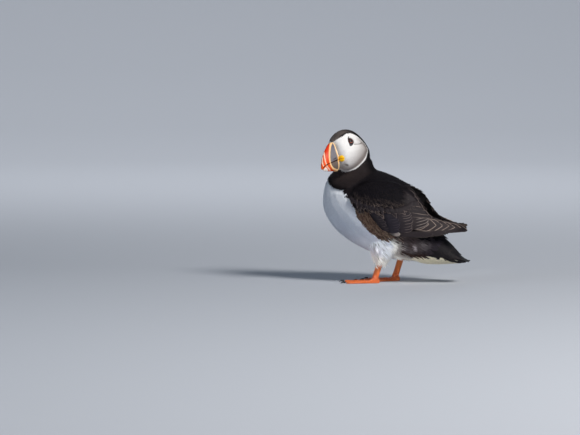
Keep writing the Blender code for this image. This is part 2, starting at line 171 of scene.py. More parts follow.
def over_scapulars(places: Array) -> Array:
    """How far places lie above the scapulars' lower border."""
    line = np.array(SCAPULARS)
    return places[:, 2] - np.interp(places[:, 0], line[:, 0], line[:, 1])


def on_skull(head: Array) -> Array:
    """Which places, given in the head's axes, lie on the skull."""
    return np.linalg.norm(head - SKULL, axis=1) < SKULL_REACH


def side_name(side: float) -> str:
    """The name of the side that lies that way along Y."""
    return "left" if side < 0 else "right"


@dataclass(frozen=True)
class Outline:
    """A closed outline in a plane."""

    points: Rows

    def signed(self, places: Array) -> Array:
        """How far places lie outside the outline, negative inside.

        Args:
            places: The places in the plane, one in each row.

        Returns:
            The distances.
        """
        ring = np.array([*self.points, self.points[0]], float)
        away, _ = along_line(places, ring)
        x, y = places[:, :1], places[:, 1:2]
        x0, y0, x1, y1 = ring[:-1, 0], ring[:-1, 1], ring[1:, 0], ring[1:, 1]
        crosses = (y0 > y) != (y1 > y)
        slope = (x1 - x0) / np.where(y1 == y0, 1e-9, y1 - y0)
        inside = (crosses & (x < x0 + (y - y0) * slope)).sum(1) % 2 == 1
        return np.where(inside, -away, away)


@dataclass(frozen=True)
class Stroke:
    """A drawn line in a plane, for a ridge, a groove or a coloured band."""

    points: Rows
    width: float

    def mask(self, places: Array, soft: float = 0.35) -> Array:
        """1 on the stroke and 0 off it, with soft edges.

        Args:
            places: The places in the plane, one in each row.
            soft: How wide the fade is.

        Returns:
            Numbers from 0 to 1.
        """
        away, _ = along_line(places, smooth_rows(self.points, 6 * len(self.points)))
        half = self.width / 2
        return smooth_step(half + soft / 2, half - soft / 2, away)


# ---- the bird's own axes


@dataclass(frozen=True)
class HeadAxes:
    """The head's own axes: forward, left and up, in millimetres from the middle of the skull."""

    at: Row = (-66.1, -17, 178)
    turn: float = 58.0
    nod: float = 12.3
    tilt: float = 9.6
    eye_at: Row = (1.6, 12.8, -0.9)
    eye_radius: float = 4.6

    def matrix(self) -> Matrix:
        """The matrix from the head's axes to the bird's."""
        turned = Matrix.Rotation(math.radians(180.0 + self.turn), 4, "Z")
        nodded = Matrix.Rotation(math.radians(self.nod), 4, "Y")
        tilted = Matrix.Rotation(math.radians(self.tilt), 4, "X")
        return Matrix.Translation(self.at) @ turned @ nodded @ tilted


class Bird:
    """Turns places between the row frame, the bird's axes and the head's axes."""

    def __init__(self, axes: HeadAxes) -> None:
        """Finds where the bird's axes lie from the place of its left eye.

        Args:
            axes: The head's axes.
        """
        self.axes = axes
        self.head = np.array(axes.matrix())
        low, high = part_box("eye_left")
        eye = np.array((low + high) / 2) / MM
        self.shift = eye - (self.head[:3, :3] @ np.array(axes.eye_at) + self.head[:3, 3])

    def to_metres(self, places: Array) -> Array:
        """Places in the row frame, in metres."""
        return (places + self.shift) * MM

    def from_metres(self) -> Matrix:
        """The matrix from the row frame in metres to the bird's axes in millimetres."""
        return Matrix.Translation(-Vector(self.shift)) @ Matrix.Scale(1 / MM, 4)

    def from_head(self, places: Array) -> Array:
        """Places given as forward, left and up of the head, in the bird's axes."""
        return np.asarray(places) @ self.head[:3, :3].T + self.head[:3, 3]

    def to_head(self, places: Array) -> Array:
        """Places in the bird's axes as forward, left and up of the head."""
        return (places - self.head[:3, 3]) @ self.head[:3, :3]

    def head_turned(self, directions: Array) -> Array:
        """Directions given in the head's axes, in the bird's."""
        return np.asarray(directions) @ self.head[:3, :3].T


# ---- node graphs


class Graph:
    """Adds and joins shader nodes with few words."""

    def __init__(self, tree: bpy.types.NodeTree) -> None:
        """Starts on an empty tree.

        Args:
            tree: The tree to fill.
        """
        self.tree = tree
        tree.nodes.clear()

    def node(self, kind: str, **settings: object) -> bpy.types.Node:
        """A new node with its settings.

        Args:
            kind: The node's type, without its ShaderNode prefix.
            settings: Attributes, or inputs where the name starts with in_.

        Returns:
            The node.
        """
        prefix = "NodeGroup" if kind in ("Input", "Output") else "ShaderNode"
        made = self.tree.nodes.new(prefix + kind)
        for name, value in settings.items():
            if name.startswith("in_"):
                self.feed(made.inputs[name[3:].replace("_", " ")], value)
            else:
                setattr(made, name, value)
        return made

    def feed(self, socket: bpy.types.NodeSocket, value: object) -> None:
        """Links a socket to value, or sets it.

        Args:
            socket: The input.
            value: Another socket, a number or a colour.
        """
        if isinstance(value, bpy.types.NodeSocket):
            self.tree.links.new(value, socket)
        elif isinstance(value, (np.ndarray, tuple)) and len(socket.default_value) == 4:
            socket.default_value = (*value[:3], 1)
        else:
            socket.default_value = value

    def math(self, operation: str, *values: object) -> bpy.types.NodeSocket:
        """The result of a Math node.

        Args:
            operation: Its operation.
            values: Sockets or numbers.

        Returns:
            Its output.
        """
        made = self.node("Math", operation=operation)
        for socket, value in zip(made.inputs, values):
            self.feed(socket, value)
        return made.outputs[0]

    def ramp(self, value: object, start: float, end: float) -> bpy.types.NodeSocket:
        """A smooth rise from 0 at start to 1 at end, or a fall where start is above end."""
        flip = start > end
        made = self.node("MapRange", interpolation_type="SMOOTHSTEP", in_Value=value)
        made.inputs["From Min"].default_value = min(start, end)
        made.inputs["From Max"].default_value = max(start, end)
        made.inputs["To Min"].default_value = float(flip)
        made.inputs["To Max"].default_value = float(not flip)
        return made.outputs[0]

    def mix(self, weight: object, one: object, other: object, how: str) -> bpy.types.NodeSocket:
        """Mixes two colours.

        Args:
            weight: How much of the other.
            one: A colour.
            other: A colour.
            how: The blend type.

        Returns:
            The mixed colour.
        """
        made = self.node("Mix", data_type="RGBA", blend_type=how)
        for label, value in (("Factor_Float", weight), ("A_Color", one), ("B_Color", other)):
            self.feed(next(s for s in made.inputs if s.identifier == label), value)
        return next(s for s in made.outputs if s.identifier == "Result_Color")

    def noise(self, vector: object, scale: float, detail: float, rough: float = 0.55) -> object:
        """The value of a Noise Texture.

        Args:
            vector: Where it is read.
            scale: Its scale, a number or a socket.
            detail: Its octaves.
            rough: How strong the finer octaves are.

        Returns:
            The socket of its value.
        """
        settings = {"in_Vector": vector, "in_Scale": scale, "in_Detail": detail}
        return self.node("TexNoise", **settings, in_Roughness=rough).outputs[0]


def new_group(name: str, inputs: dict, outputs: tuple[str, ...]) -> bpy.types.NodeTree:
    """An empty shader node group with named sockets.

    Args:
        name: Its name.
        inputs: Each input's default number, or None for a vector.
        outputs: The outputs' names, all numbers.

    Returns:
        The group.
    """
    tree = bpy.data.node_groups.new(name, "ShaderNodeTree")
    for label, value in inputs.items():
        kind = "NodeSocketVector" if value is None else "NodeSocketFloat"
        socket = tree.interface.new_socket(name=label, in_out="INPUT", socket_type=kind)
        if value is not None:
            socket.default_value = value
    for label in outputs:
        tree.interface.new_socket(name=label, in_out="OUTPUT", socket_type="NodeSocketFloat")
    return tree


class SharedGroups:
    """The node groups that more than one finish uses."""

    def __init__(self) -> None:
        """Builds each group once."""
        self.barbs = self.barb_group()
        self.mottle = self.mottle_group()

    def barb_group(self) -> bpy.types.NodeTree:
        """The barbs of a feather, slanting from its shaft, from a map laid in millimetres.

        Returns:
            The group: Height and Shade of the barbs.
        """
        inputs = {"Lay": None, "Spacing": 0.5, "Slant": 1, "Shaft Width": 0.3}
        tree = new_group("feather_barbs", inputs, ("Height", "Shade"))
        g = Graph(tree)
        entry = g.node("Input").outputs
        lay = g.node("SeparateXYZ", in_Vector=entry["Lay"]).outputs
        aside = g.math("ABSOLUTE", g.math("SUBTRACT", lay["X"], LAY_MIDDLE))
        rooted = g.math("SUBTRACT", lay["Y"], g.math("MULTIPLY", aside, entry["Slant"]))
        course = g.math("DIVIDE", rooted, entry["Spacing"])
        across = g.math("MULTIPLY", aside, 0.35)
        fine = g.noise(g.node("CombineXYZ", in_X=course, in_Y=across).outputs[0], 1, 2)
        wide, long = g.math("MULTIPLY", course, 0.21), g.math("MULTIPLY", across, 0.5)
        coarse = g.noise(g.node("CombineXYZ", in_X=wide, in_Y=long).outputs[0], 1, 1)
        wave = g.math("SINE", g.math("MULTIPLY", course, FULL_TURN))
        ridged = g.math("MULTIPLY_ADD", wave, 0.2, fine)
        shaft = g.ramp(g.math("DIVIDE", aside, entry["Shaft Width"]), 1, 0.35)
        shade = g.math("MULTIPLY_ADD", coarse, 0.6, g.math("MULTIPLY", fine, 0.4))
        leave = g.node("Output")
        g.feed(leave.inputs["Height"], g.math("ADD", ridged, g.math("MULTIPLY", shaft, 0.8)))
        g.feed(leave.inputs["Shade"], shade)
        return tree

    def mottle_group(self) -> bpy.types.NodeTree:
        """Slow and fine variation over a surface, for horn and bare skin.

        Returns:
            The group: Slow and Fine, both about 0.5.
        """
        tree = new_group("mottle", {"Place": None, "Scale": 300.0}, ("Slow", "Fine"))
        g = Graph(tree)
        entry = g.node("Input").outputs
        slow = g.noise(entry["Place"], entry["Scale"], 3)
        fine = g.noise(entry["Place"], g.math("MULTIPLY", entry["Scale"], 6), 4, 0.65)
        leave = g.node("Output")
        g.feed(leave.inputs["Slow"], slow)
        g.feed(leave.inputs["Fine"], fine)
        return tree


def new_material(name: str) -> tuple[bpy.types.Material, Graph, bpy.types.Node]:
    """A material with one Principled shader.

    Args:
        name: The material's name.

    Returns:
        The material, its graph and the shader node.
    """
    made = bpy.data.materials.new(name)
    made.use_nodes = True
    graph = Graph(made.node_tree)
    shader = graph.node("BsdfPrincipled")
    out = graph.node("OutputMaterial")
    graph.feed(out.inputs["Surface"], shader.outputs[0])
    return made, graph, shader


@dataclass(frozen=True)
class Dress:
    """A finish as it is worn: its material, and the name of the slot that it goes by."""

    material: bpy.types.Material
    slot: str


@dataclass(frozen=True)
class Finish:
    """What every finish has."""

    name: str
    slot: str
    roughness: float
    gloss: float
    relief: float  # height of the pattern, in metres
    contrast: float
    rough_swing: ClassVar[float]
    bump: ClassVar[float]

    def shade(self, g: Graph, shader: bpy.types.Node, base: object, parts: tuple) -> None:
        """Feeds the shader its colour, roughness and relief.

        Args:
            g: The material's graph.
            shader: The shader.
            base: The colour.
            parts: How much lighter each place is, how rough, and how high.
        """
        swing, grain, height = parts
        grey = g.node("CombineXYZ", in_X=swing, in_Y=swing, in_Z=swing).outputs[0]
        g.feed(shader.inputs["Base Color"], g.mix(1, base, grey, "MULTIPLY"))
        least = self.roughness - self.rough_swing / 2
        g.feed(shader.inputs["Roughness"], g.math("MULTIPLY_ADD", grain, self.rough_swing, least))
        shader.inputs["Specular IOR Level"].default_value = self.gloss
        bump = g.node("Bump", in_Height=height, in_Distance=self.relief, in_Strength=self.bump)
        g.feed(shader.inputs["Normal"], bump.outputs[0])


@dataclass(frozen=True)
class PlumageFinish(Finish):
    """Feathers: their colour comes with them; barbs, shaft and worn rim are added."""

    sheen: float
    spacing: float  # between barbs, in millimetres
    slant: float  # how far a barb runs forward for each step out
    shaft: float
    fray: float = 0.6  # how unevenly the faded rim ends
    rough_swing: ClassVar[float] = 0.12
    bump: ClassVar[float] = 0.8

    def build(self, groups: SharedGroups) -> Dress:
        """Makes the material.

        Args:
            groups: The shared node groups.

        Returns:
            The finish, ready to wear.
        """
        made, g, shader = new_material(self.name)
        tone = g.node("Attribute", attribute_name="tone").outputs
        rim = g.node("Attribute", attribute_name="rim_tone").outputs
        lay = g.node("UVMap", uv_map="lay")
        barbs = g.node("Group", node_tree=groups.barbs, in_Lay=lay.outputs[0])
        barbs.inputs["Spacing"].default_value = self.spacing
        barbs.inputs["Slant"].default_value = self.slant
        barbs.inputs["Shaft Width"].default_value = self.shaft
        shade = barbs.outputs["Shade"]
        ragged = g.math("MULTIPLY_ADD", shade, -self.fray, tone["Alpha"])
        worn = g.math("MULTIPLY", g.ramp(ragged, 0.85, 0.2), rim["Alpha"])
        base = g.mix(worn, tone["Color"], rim["Color"], "MIX")
        swing = g.math("MULTIPLY_ADD", shade, 2 * self.contrast, 1.0 - self.contrast)
        self.shade(g, shader, base, (swing, shade, barbs.outputs["Height"]))
        shader.inputs["Sheen Weight"].default_value = self.sheen
        shader.inputs["Sheen Roughness"].default_value = 0.5
        return Dress(made, self.slot)


@dataclass(frozen=True)
class HideFinish(Finish):
    """Skin, horn or scaly leg: a carried colour, mottled, with a raised pattern of its own."""

    coat: float
    scale: float
    scutes: float = 0.0  # width of a scale in millimetres, or none
    lines: float = 0.0  # spacing of growth lines in millimetres, or none
    flat: Row | None = None
    rough_swing: ClassVar[float] = 0.2
    bump: ClassVar[float] = 0.9

    def build(self, groups: SharedGroups) -> Dress:
        """Makes the material.

        Args:
            groups: The shared node groups.

        Returns:
            The finish, ready to wear.
        """
        made, g, shader = new_material(self.name)
        place = g.node("TexCoord").outputs["Object"]
        mottle = g.node("Group", node_tree=groups.mottle, in_Place=place)
        mottle.inputs["Scale"].default_value = self.scale
        slow, fine = mottle.outputs["Slow"], mottle.outputs["Fine"]
        if self.flat is None:
            base = g.node("Attribute", attribute_name="tone").outputs["Color"]
        else:
            full = tint(*self.flat)
            base = g.mix(g.ramp(slow, 0.35, 0.65), full * 0.62, full, "MIX")
        less = self.contrast
        swing = g.math("MULTIPLY_ADD", slow, 2 * less, 1.0 - less)
        swing = g.math("MULTIPLY", swing, g.math("MULTIPLY_ADD", fine, less, 1.0 - less / 2))
        height = g.math("MULTIPLY", fine, 0.35)
        if self.scutes:
            cells = g.node("TexVoronoi", feature="DISTANCE_TO_EDGE", in_Vector=place)
            cells.inputs["Scale"].default_value = 1.0 / (self.scutes * MM)
            seam = g.ramp(cells.outputs["Distance"], 0, 0.16)
            height = g.math("MULTIPLY_ADD", seam, 1, height)
            swing = g.math("MULTIPLY", swing, g.math("MULTIPLY_ADD", seam, 0.3, 0.72))
        if self.lines:
            course = g.node("Attribute", attribute_name="course").outputs["Fac"]
            wave = g.math("SINE", g.math("MULTIPLY", course, FULL_TURN / self.lines))
            height = g.math("MULTIPLY_ADD", wave, 0.4, height)
        self.shade(g, shader, base, (swing, fine, height))
        shader.inputs["Coat Weight"].default_value = self.coat
        shader.inputs["Coat Roughness"].default_value = 0.25
        return Dress(made, self.slot)


# ---- markings


class Zone(IntEnum):
    """The parts of the coat."""

    FACE = 0
    CROWN = 1
    NECK = 2
    BREAST = 3
    VENT = 4
    THIGHS = 5
    MANTLE = 6
    RUMP = 7
    FLANK = 8
    WING = 9
    TAIL = 10
    LEAD = 11
    SCAPULARS = 12


FLESH = ("head", "neck", "trunk", "tail", "wing_left", "wing_right", "thigh_left", "thigh_right")
HEAD, NECK, TRUNK, TAIL = range(4)  # places in FLESH; the wings are 4 and 5, the thighs 6 and 7
WHITE = (242, 240, 239)


@dataclass(frozen=True)
class Markings:
    """Where each colour lies. The face is drawn in the head's side view, the body in the bird's."""

    bird: Bird
    face: Outline = Outline(
        (
            (20.2, 3.2), (18.6, 5.2), (16.5, 6.5), (12.5, 7.3), (7.2, 8.5), (0.2, 9.2), (-5.8, 8.2),
            (-10.6, 6), (-14.5, 1.7), (-17.9, -3.9), (-21, -10), (-22.4, -15),
            (-20.4, -20.6), (-13.2, -26.4), (-6.8, -29.6), (0.8, -33.4), (6, -35.4), (9.2, -35.8),
            (14.6, -35.6), (20.7, -33.4), (24.4, -30.4), (30, -29), (30, -8), (22.2, -6),
            (21.4, -3.2), (20.7, 0.4),
        )
    )
    dark: Outline = Outline(
        (
            (-120, 152), (-88.5, 140), (-86.2, 135), (-84.6, 130), (-81.8, 125.2),
            (-77.1, 121.3), (-70, 119.2), (-61, 118.5), (-51.5, 107.8), (-48.8, 97.8),
            (-43.4, 88.1), (-35.7, 79.9), (-27.4, 70.1), (-20.7, 65.6), (-14.7, 61.8), (-2.5, 59.7),
            (6.4, 56.6), (7.5, 47.5), (2.4, 40.7), (21, 34.5), (40.7, 34.8), (57.9, 31.5),
            (72, 26.5), (120, 20), (120, 80), (60, 190), (-120, 240),
        )
    )
    eye_patch: Outline = Outline(
        (
            (-0.2, 6.3), (2.3, 5.1), (5.2, 2.4), (7, -0.8), (7.4, -2.8), (8, -4.6), (6.8, -6.1),
            (3.6, -5.5), (-1.3, -4.4), (0.6, -1.8), (1.7, 1.4), (0.8, 4.3),
        )
    )
    lead: Outline = Outline(
        (
            (-52, 103), (-45, 99.5), (-36.9, 99.7), (-24.5, 90.1), (-14, 79.7), (-3.5, 70.6),
            (-0.7, 66), (-2, 60.5), (-8, 57), (-20, 60), (-31, 68), (-40, 78),
            (-48, 88),
        )
    )
    crease: Rows = ((-1, -5.4), (-4, -6.2), (-9, -7.4), (-13, -7.6), (-17.8, -6.7))
    fringe: Row = (23, 30.5)  # how low the left and the right thigh's feathers hang
    collar: Rows = ((-57, 122.6), (-28, 144))
    # painted shadow of the chin crease, under the bill
    chin_crease_shadow: Row = (18.4, -26.8, 2.8, 1.7)  # under the bill: its middle, its length and its width
    flank_spots: Rows = (
        (25.4, 46.5, 1.5, 4, 190, 0.7), (13.6, 47, 2.6, 6, 130, 0.5),
        (36, 50, 8, 6, 112, 0.45), (20, 42, 1.6, 3, 130, 0.45),
    )  # pale feathers: place, width, height, grey level and share

    def zones(self, places: Array, nodes: Array) -> Array:
        """Which part of the coat covers each place.

        Args:
            places: Places on the skin.
            nodes: The flesh node that each belongs to, as a place in FLESH.

        Returns:
            A Zone for each.
        """
        x, y, z = places.T
        head = self.bird.to_head(places)
        ahead, aside, above = head.T
        trunk, wing = nodes == TRUNK, (nodes == 4) | (nodes == 5)
        dark = self.dark.signed(places[:, ::2]) + self.tatter(places) < 0.0
        face = (self.face.signed(head[:, ::2]) < 0) & on_skull(head) & (nodes <= NECK)
        face &= (aside > 4.5) | (aside < -8) | (above > -27)
        face &= (aside > 0) | (ahead < 12) | (above > -28)
        thigh = off_thighs(places) < 17.0
        thigh |= (x > -4) & (x < 17) & (z > 33) & (np.abs(y) > 17)
        rise = over_scapulars(places)
        nape_side = (x + 57) * -21.4 + (z - 122.6) * 29.0 > 0.0
        found = np.where(dark, int(Zone.MANTLE), int(Zone.BREAST))
        for zone, here in (
            (Zone.VENT, ~dark & (x > -4) & (z < 60)),
            (Zone.FLANK, dark & (x > 4) & (z < 70) & trunk),
            (Zone.RUMP, dark & (x > 26) & (z > 60) & trunk),
            (Zone.NECK, dark & (nape_side | (nodes == NECK))),
            (Zone.CROWN, nodes == HEAD),
            (Zone.FACE, face),
            (Zone.THIGHS, ((nodes >= 6) | (trunk & thigh & (z < 62))) & ~dark),
        ):
            found[here] = zone
        back = (rise < 19) & (x > -52) & (x < 26) & (np.abs(y) > 15)
        found[(found == Zone.MANTLE) & back] = Zone.SCAPULARS
        found[wing & (rise < 0)] = Zone.WING
        found[(wing | trunk) & (self.lead.signed(places[:, ::2]) < 0)] = Zone.LEAD
        found[nodes == TAIL] = Zone.TAIL
        found[(nodes == TAIL) & ~dark & (x < 74)] = Zone.VENT
        return found

    def tatter(self, places: Array) -> Array:
        """How far the dark coat's edge wanders beside the breast, in millimetres."""
        x, _, z = places.T
        wave = np.sin(1.5 * z + 0.7 * x) + 0.7 * np.sin(2.7 * z - 1.3 * x)
        upper = smooth_step(66, 76, z) * smooth_step(119, 114, z)
        return wave * upper * smooth_step(-70, -62, x)

    def tones(self, places: Array, zones: Array) -> Array:
        """The colour of each place.

        Args:
            places: Places on the skin or the coat.
            zones: The part of the coat that each belongs to.

        Returns:
            Linear colours.
        """
        found = np.zeros((len(places), 3))
        for zone, colours in (self.head_tones(places) | self.body_tones(places)).items():
            here = zones == zone
            found[here] = colours[here]
        return found

    def head_tones(self, places: Array) -> dict[Zone, Array]:
        """The head's and the collar's colours.

        The face is white ahead of the eye and greyer below and behind, partly its own grey and
        partly painted shade on its lower rear, with a bright rim. The cap is grey-brown ahead and
        darkest along the face, the collar blacker behind and along its edge.

        Args:
            places: The places.

        Returns:
            For each part, its colour at each place.
        """
        head = self.bird.to_head(places)
        f, _, u = head.T
        outside = self.face.signed(head[:, ::2])
        border = -self.dark.signed(places[:, ::2])
        # partly painted shade: the face greys towards its lower rear and in the band inside its
        # edge there, over its own grey
        shaded = smooth_step(2, -30, 0.6 * f + 0.85 * (u + 4))
        band = smooth_step(9, 2.5, -outside) * smooth_step(6, -14, 0.4 * f + u + 4)
        rim = smooth_step(1.5, 0.9, -outside) * smooth_step(2, -10, u + 0.3 * f)
        # painted shade in the crease behind the eye
        away, place = along_line(head[:, ::2], smooth_rows(self.crease, 24))
        fold = smooth_step(1.1, 0.2, away) * smooth_step(23.5, 18, place)
        # painted shadow of the chin crease, under the bill
        at_f, at_u, long, wide = self.chin_crease_shadow
        chin_crease_shadow = np.hypot((f - at_f) / long, (u - at_u - 0.6 * (f - at_f)) / wide)
        jowl = smooth_step(-17, -24, u) * smooth_step(15, 22, f)
        chin = smooth_step(-29, -36, u) * smooth_step(8, 16, f)
        face = painted(
            graded(WHITE, (146, 134, 129), shaded),
            ((112, 101, 97), 0.65 * band),
            (WHITE, 0.95 * rim),
            # painted shade in the crease
            ((112, 104, 102), 0.75 * fold),
            ((58, 50, 48), 0.85 * smooth_step(1.3, 0.3, chin_crease_shadow)),
            ((140, 131, 126), 0.55 * jowl),
            ((150, 143, 140), 0.6 * chin),
        )
        crown = painted(
            graded((90, 82, 79), (22, 18, 20), smooth_step(8, -14, f + 0.25 * u)),
            ((24, 20, 21), smooth_step(2.4, 0.8, outside) * smooth_step(14, 8, f)),
            ((124, 114, 110), smooth_step(13, 19, f) * smooth_step(-2, 2, u)),
            ((52, 44, 43), smooth_step(-24, -33, u)),
        )
        neck = painted(
            graded((20, 17, 20), (48, 41, 42), smooth_step(-16, 2, f)),
            ((66, 57, 55), smooth_step(-50, -38, u) * smooth_step(4, 16, f)),
            ((24, 20, 22), smooth_step(6, 1, border)),
        )
        return {Zone.FACE: face, Zone.CROWN: crown, Zone.NECK: neck}

    def body_tones(self, places: Array) -> dict[Zone, Array]:
        """The body's colours.

        The back is blue-black above and browner where the feathers are old, towards the wing. The
        white thigh is dusky towards the flank, where paler feathers show through.

        Args:
            places: The places.

        Returns:
            For each part, its colour at each place.
        """
        x, _, z = places.T
        border = self.dark.signed(places[:, ::2])
        away, _ = along_line(places[:, ::2], np.array(self.collar))
        mantle = painted(
            np.broadcast_to(tint(14, 12, 18), (len(x), 3)),
            ((30, 25, 28), smooth_step(16, 0, over_scapulars(places))),
            ((40, 34, 34), smooth_step(8, 22, x) * smooth_step(104, 116, z)),
            ((48, 43, 46), 0.6 * smooth_step(5, 0, away)),
        )
        # painted shade: the thigh turns bluish grey towards the belly, matching the breast's
        # painted shade
        between = smooth_step(11, 17, off_thighs(places)) * smooth_step(0, -10, x)
        thigh = painted(
            graded((255, 255, 255), (250, 247, 241), smooth_step(60, 30, z)),
            ((226, 230, 238), between),
            ((128, 116, 110), 0.75 * smooth_step(6, 0.5, border)),
        )
        flank = graded((68, 59, 60), (42, 38, 46), smooth_step(20, 56, x))
        for u, v, wide, tall, shade, share in self.flank_spots:
            spot = np.exp(-(((x - u) / wide) ** 2) - ((z - v) / tall) ** 2)
            flank = painted(flank, ((shade, shade * 0.96, shade * 0.98), share * spot))
        brown = 0.8 * smooth_step(7, 2, -border) * smooth_step(46, 30, x)
        return {
            # painted light and shade: the breast lighter at the top and bluish grey lower down
            Zone.BREAST: graded((248, 250, 254), (219, 224, 235), smooth_step(122, 64, z)),
            Zone.VENT: graded((238, 235, 226), (240, 232, 206), smooth_step(0, 40, x)),
            Zone.THIGHS: thigh,
            Zone.MANTLE: mantle,
            Zone.SCAPULARS: mantle,
            Zone.RUMP: np.broadcast_to(tint(17, 15, 21), mantle.shape),
            Zone.FLANK: painted(flank, ((56, 38, 31), brown)),
            Zone.WING: self.wing_tones(places),
            Zone.LEAD: graded((90, 67, 55), (60, 47, 42), smooth_step(-34, -4, x)),
            Zone.TAIL: graded((24, 22, 25), (13, 14, 21), smooth_step(60, 85, x)),
        }

    def wing_tones(self, places: Array) -> Array:
        """The wing: blue-black in front, browner behind."""
        return graded((30, 26, 31), (42, 36, 38), smooth_step(-5, 34, places[:, 0]))

    def strays(self, tips: Array, zones: Array) -> Array:
        """How far each feather's tip hangs over ground of the other colour.

        Args:
            tips: The feathers' tips.
            zones: The part of the coat that each belongs to.

        Returns:
            The distances, below zero for a tip over its own ground.
        """
        head = self.bird.to_head(tips)
        face = self.face.signed(head[:, ::2])
        dark = self.dark.signed(tips[:, ::2]) + self.tatter(tips)
        nape = np.where(head[:, 2] < -24, dark, np.maximum(dark, -face))
        found = np.full(len(tips), -9.0)
        for zone, over in (
            (Zone.FACE, face),
            (Zone.NECK, nape),
            (Zone.CROWN, np.minimum(-face, 30.0 - np.linalg.norm(head, axis=1))),
            (Zone.THIGHS, np.where(tips[:, 1] < 0, *self.fringe) - tips[:, 2]),
            (Zone.BREAST, -dark),
        ):
            found = np.where(zones == zone, over, found)
        return found

    def wear(self, places: Array, zones: Array) -> Array:
        """How strongly the feathers' rims have faded, 0 to 1.

        Args:
            places: Places on the coat.
            zones: The part of the coat that each belongs to.

        Returns:
            The strengths.
        """
        found = np.zeros(len(places))
        for zone, worn in (
            (Zone.MANTLE, 0.1),
            (Zone.SCAPULARS, 0.15 + 0.85 * smooth_step(16, 2, over_scapulars(places))),
            (Zone.WING, 0.3 + 0.3 * smooth_step(4, 24, places[:, 0])),
            (Zone.LEAD, 0.75),
            (Zone.RUMP, 0.12),
            (Zone.TAIL, 0.22),
        ):
            found = np.where(zones == zone, worn, found)
        return found


# ---- skin


class Surface:
    """A closed surface that places can be found on."""

    def __init__(self, corners: Array, faces: list[tuple[int, ...]]) -> None:
        """Builds the search tree and the smooth normals.

        Args:
            corners: The surface's corners.
            faces: Its faces, as triangles or quads.
        """
        self.corners = corners
        fans = [(f[0], f[k], f[k + 1]) for f in faces for k in range(1, len(f) - 1)]
        self.triangles = np.array(fans, np.int64)
        self.tree = BVHTree.FromPolygons(corners.tolist(), self.triangles.tolist())
        a, b, c = (corners[self.triangles[:, k]] for k in range(3))
        cross = np.cross(b - a, c - a)
        self.areas = np.linalg.norm(cross, axis=1) / 2
        self.normals = np.zeros_like(corners)
        for k in range(3):
            np.add.at(self.normals, self.triangles[:, k], cross)
        self.normals = unit(self.normals)
        self.facing = unit(self.normals[self.triangles].sum(1))

    def nearest(self, places: Array) -> tuple[Array, Array]:
        """The nearest points on the surface, and the smooth normals there."""
        found = [self.tree.find_nearest(place) for place in places.tolist()]
        index = np.array([hit[2] for hit in found])
        return np.array([hit[0][:] for hit in found]), self.facing[index]

    def thickness(self) -> Array:
        """How thick the body is under each corner."""
        found = np.full(len(self.corners), math.inf)
        inward = -self.normals
        starts = self.corners + 0.02 * inward
        for k, (start, way) in enumerate(zip(starts.tolist(), inward.tolist())):
            hit = self.tree.ray_cast(start, way)
            if hit[3] is not None:
                found[k] = hit[3]
        return found


def merged_copy(bird: Bird, name: str, grow: float) -> Made:
    """A CAD node's shape in the bird's axes, its corners joined and moved out a little.

    Args:
        bird: The bird's axes.
        name: The node.
        grow: How far out its surface moves, in millimetres.

    Returns:
        The mesh.
    """
    made = bmesh.new()
    made.from_mesh(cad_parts[name].data)
    bmesh.ops.remove_doubles(made, verts=made.verts, dist=1e-6)
    made.transform(bird.from_metres())
    made.normal_update()
    for vert, move in [(vert, vert.normal * grow) for vert in made.verts]:
        vert.co += move
    return made


def smooth(made: Made, rounds: int) -> None:
    """Evens a mesh out, a few times over."""
    axes = {"use_axis_x": True, "use_axis_y": True, "use_axis_z": True}
    for _ in range(rounds):
        bmesh.ops.smooth_vert(made, verts=made.verts, factor=0.5, **axes)


def close_up(made: Made, near: float) -> None:
    """Joins a rolled grid's edges, with corners nearer than near made one, and fills its ends."""
    bmesh.ops.remove_doubles(made, verts=made.verts, dist=near)
    bmesh.ops.holes_fill(made, edges=[edge for edge in made.edges if edge.is_boundary], sides=0)
    bmesh.ops.triangulate(made, faces=[face for face in made.faces if len(face.verts) > 4])


def spun(profile: list[tuple[float, float]], steps: int, near: float) -> Made:
    """A line turned round the Z axis.

    Args:
        profile: How far from the axis, and how high, each point of the line lies.
        steps: How many steps the turn takes.
        near: How close corners lie that become one.

    Returns:
        The mesh.
    """
    made = bmesh.new()
    line = [made.verts.new((across, 0, height)) for across, height in profile]
    for one, other in zip(line, line[1:]):
        made.edges.new((one, other))
    round_z = {"axis": (0, 0, 1), "cent": (0, 0, 0), "dvec": (0, 0, 0), "angle": FULL_TURN}
    geometry = made.verts[:] + made.edges[:]
    bmesh.ops.spin(made, geom=geometry, **round_z, steps=steps, use_merge=True)
    bmesh.ops.remove_doubles(made, verts=made.verts, dist=near)
    bmesh.ops.recalc_face_normals(made, faces=made.faces)
    return made


def mesh_of(name: str, made: Made) -> bpy.types.Mesh:
    """Writes a bmesh as a mesh, and frees it."""
    mesh = bpy.data.meshes.new(name)
    made.to_mesh(mesh)
    made.free()
    return mesh


def remeshed(parts: list[Made], voxel: float, rounds: int) -> Made:
    """One even, smooth mesh round all the parts.

    Args:
        parts: The parts, which may overlap. They are freed.
        voxel: The size of a face, in millimetres.
        rounds: How many times it is smoothed.

    Returns:
        The mesh.
    """
    whole = bmesh.new()
    for part in parts:
        held = mesh_of("held", part)
        whole.from_mesh(held)
        bpy.data.meshes.remove(held)
    held = mesh_of("held", whole)
    holder = bpy.data.objects.new("holder", held)
    bpy.context.scene.collection.objects.link(holder)
    remesh = holder.modifiers.new("remesh", "REMESH")
    remesh.mode = "VOXEL"
    remesh.voxel_size = voxel
    graph = bpy.context.evaluated_depsgraph_get()
    whole = bmesh.new()
    whole.from_mesh(holder.evaluated_get(graph).to_mesh())
    bpy.data.objects.remove(holder)
    bpy.data.meshes.remove(held)
    smooth(whole, rounds)
    return whole


def places_of(made: Made) -> Array:
    """A mesh's corners."""
    return np.array([vert.co[:] for vert in made.verts])


def faces_of(made: Made) -> list[tuple[int, ...]]:
    """A mesh's faces, each as the numbers of its corners."""
    made.verts.index_update()
    return [tuple(vert.index for vert in face.verts) for face in made.faces]


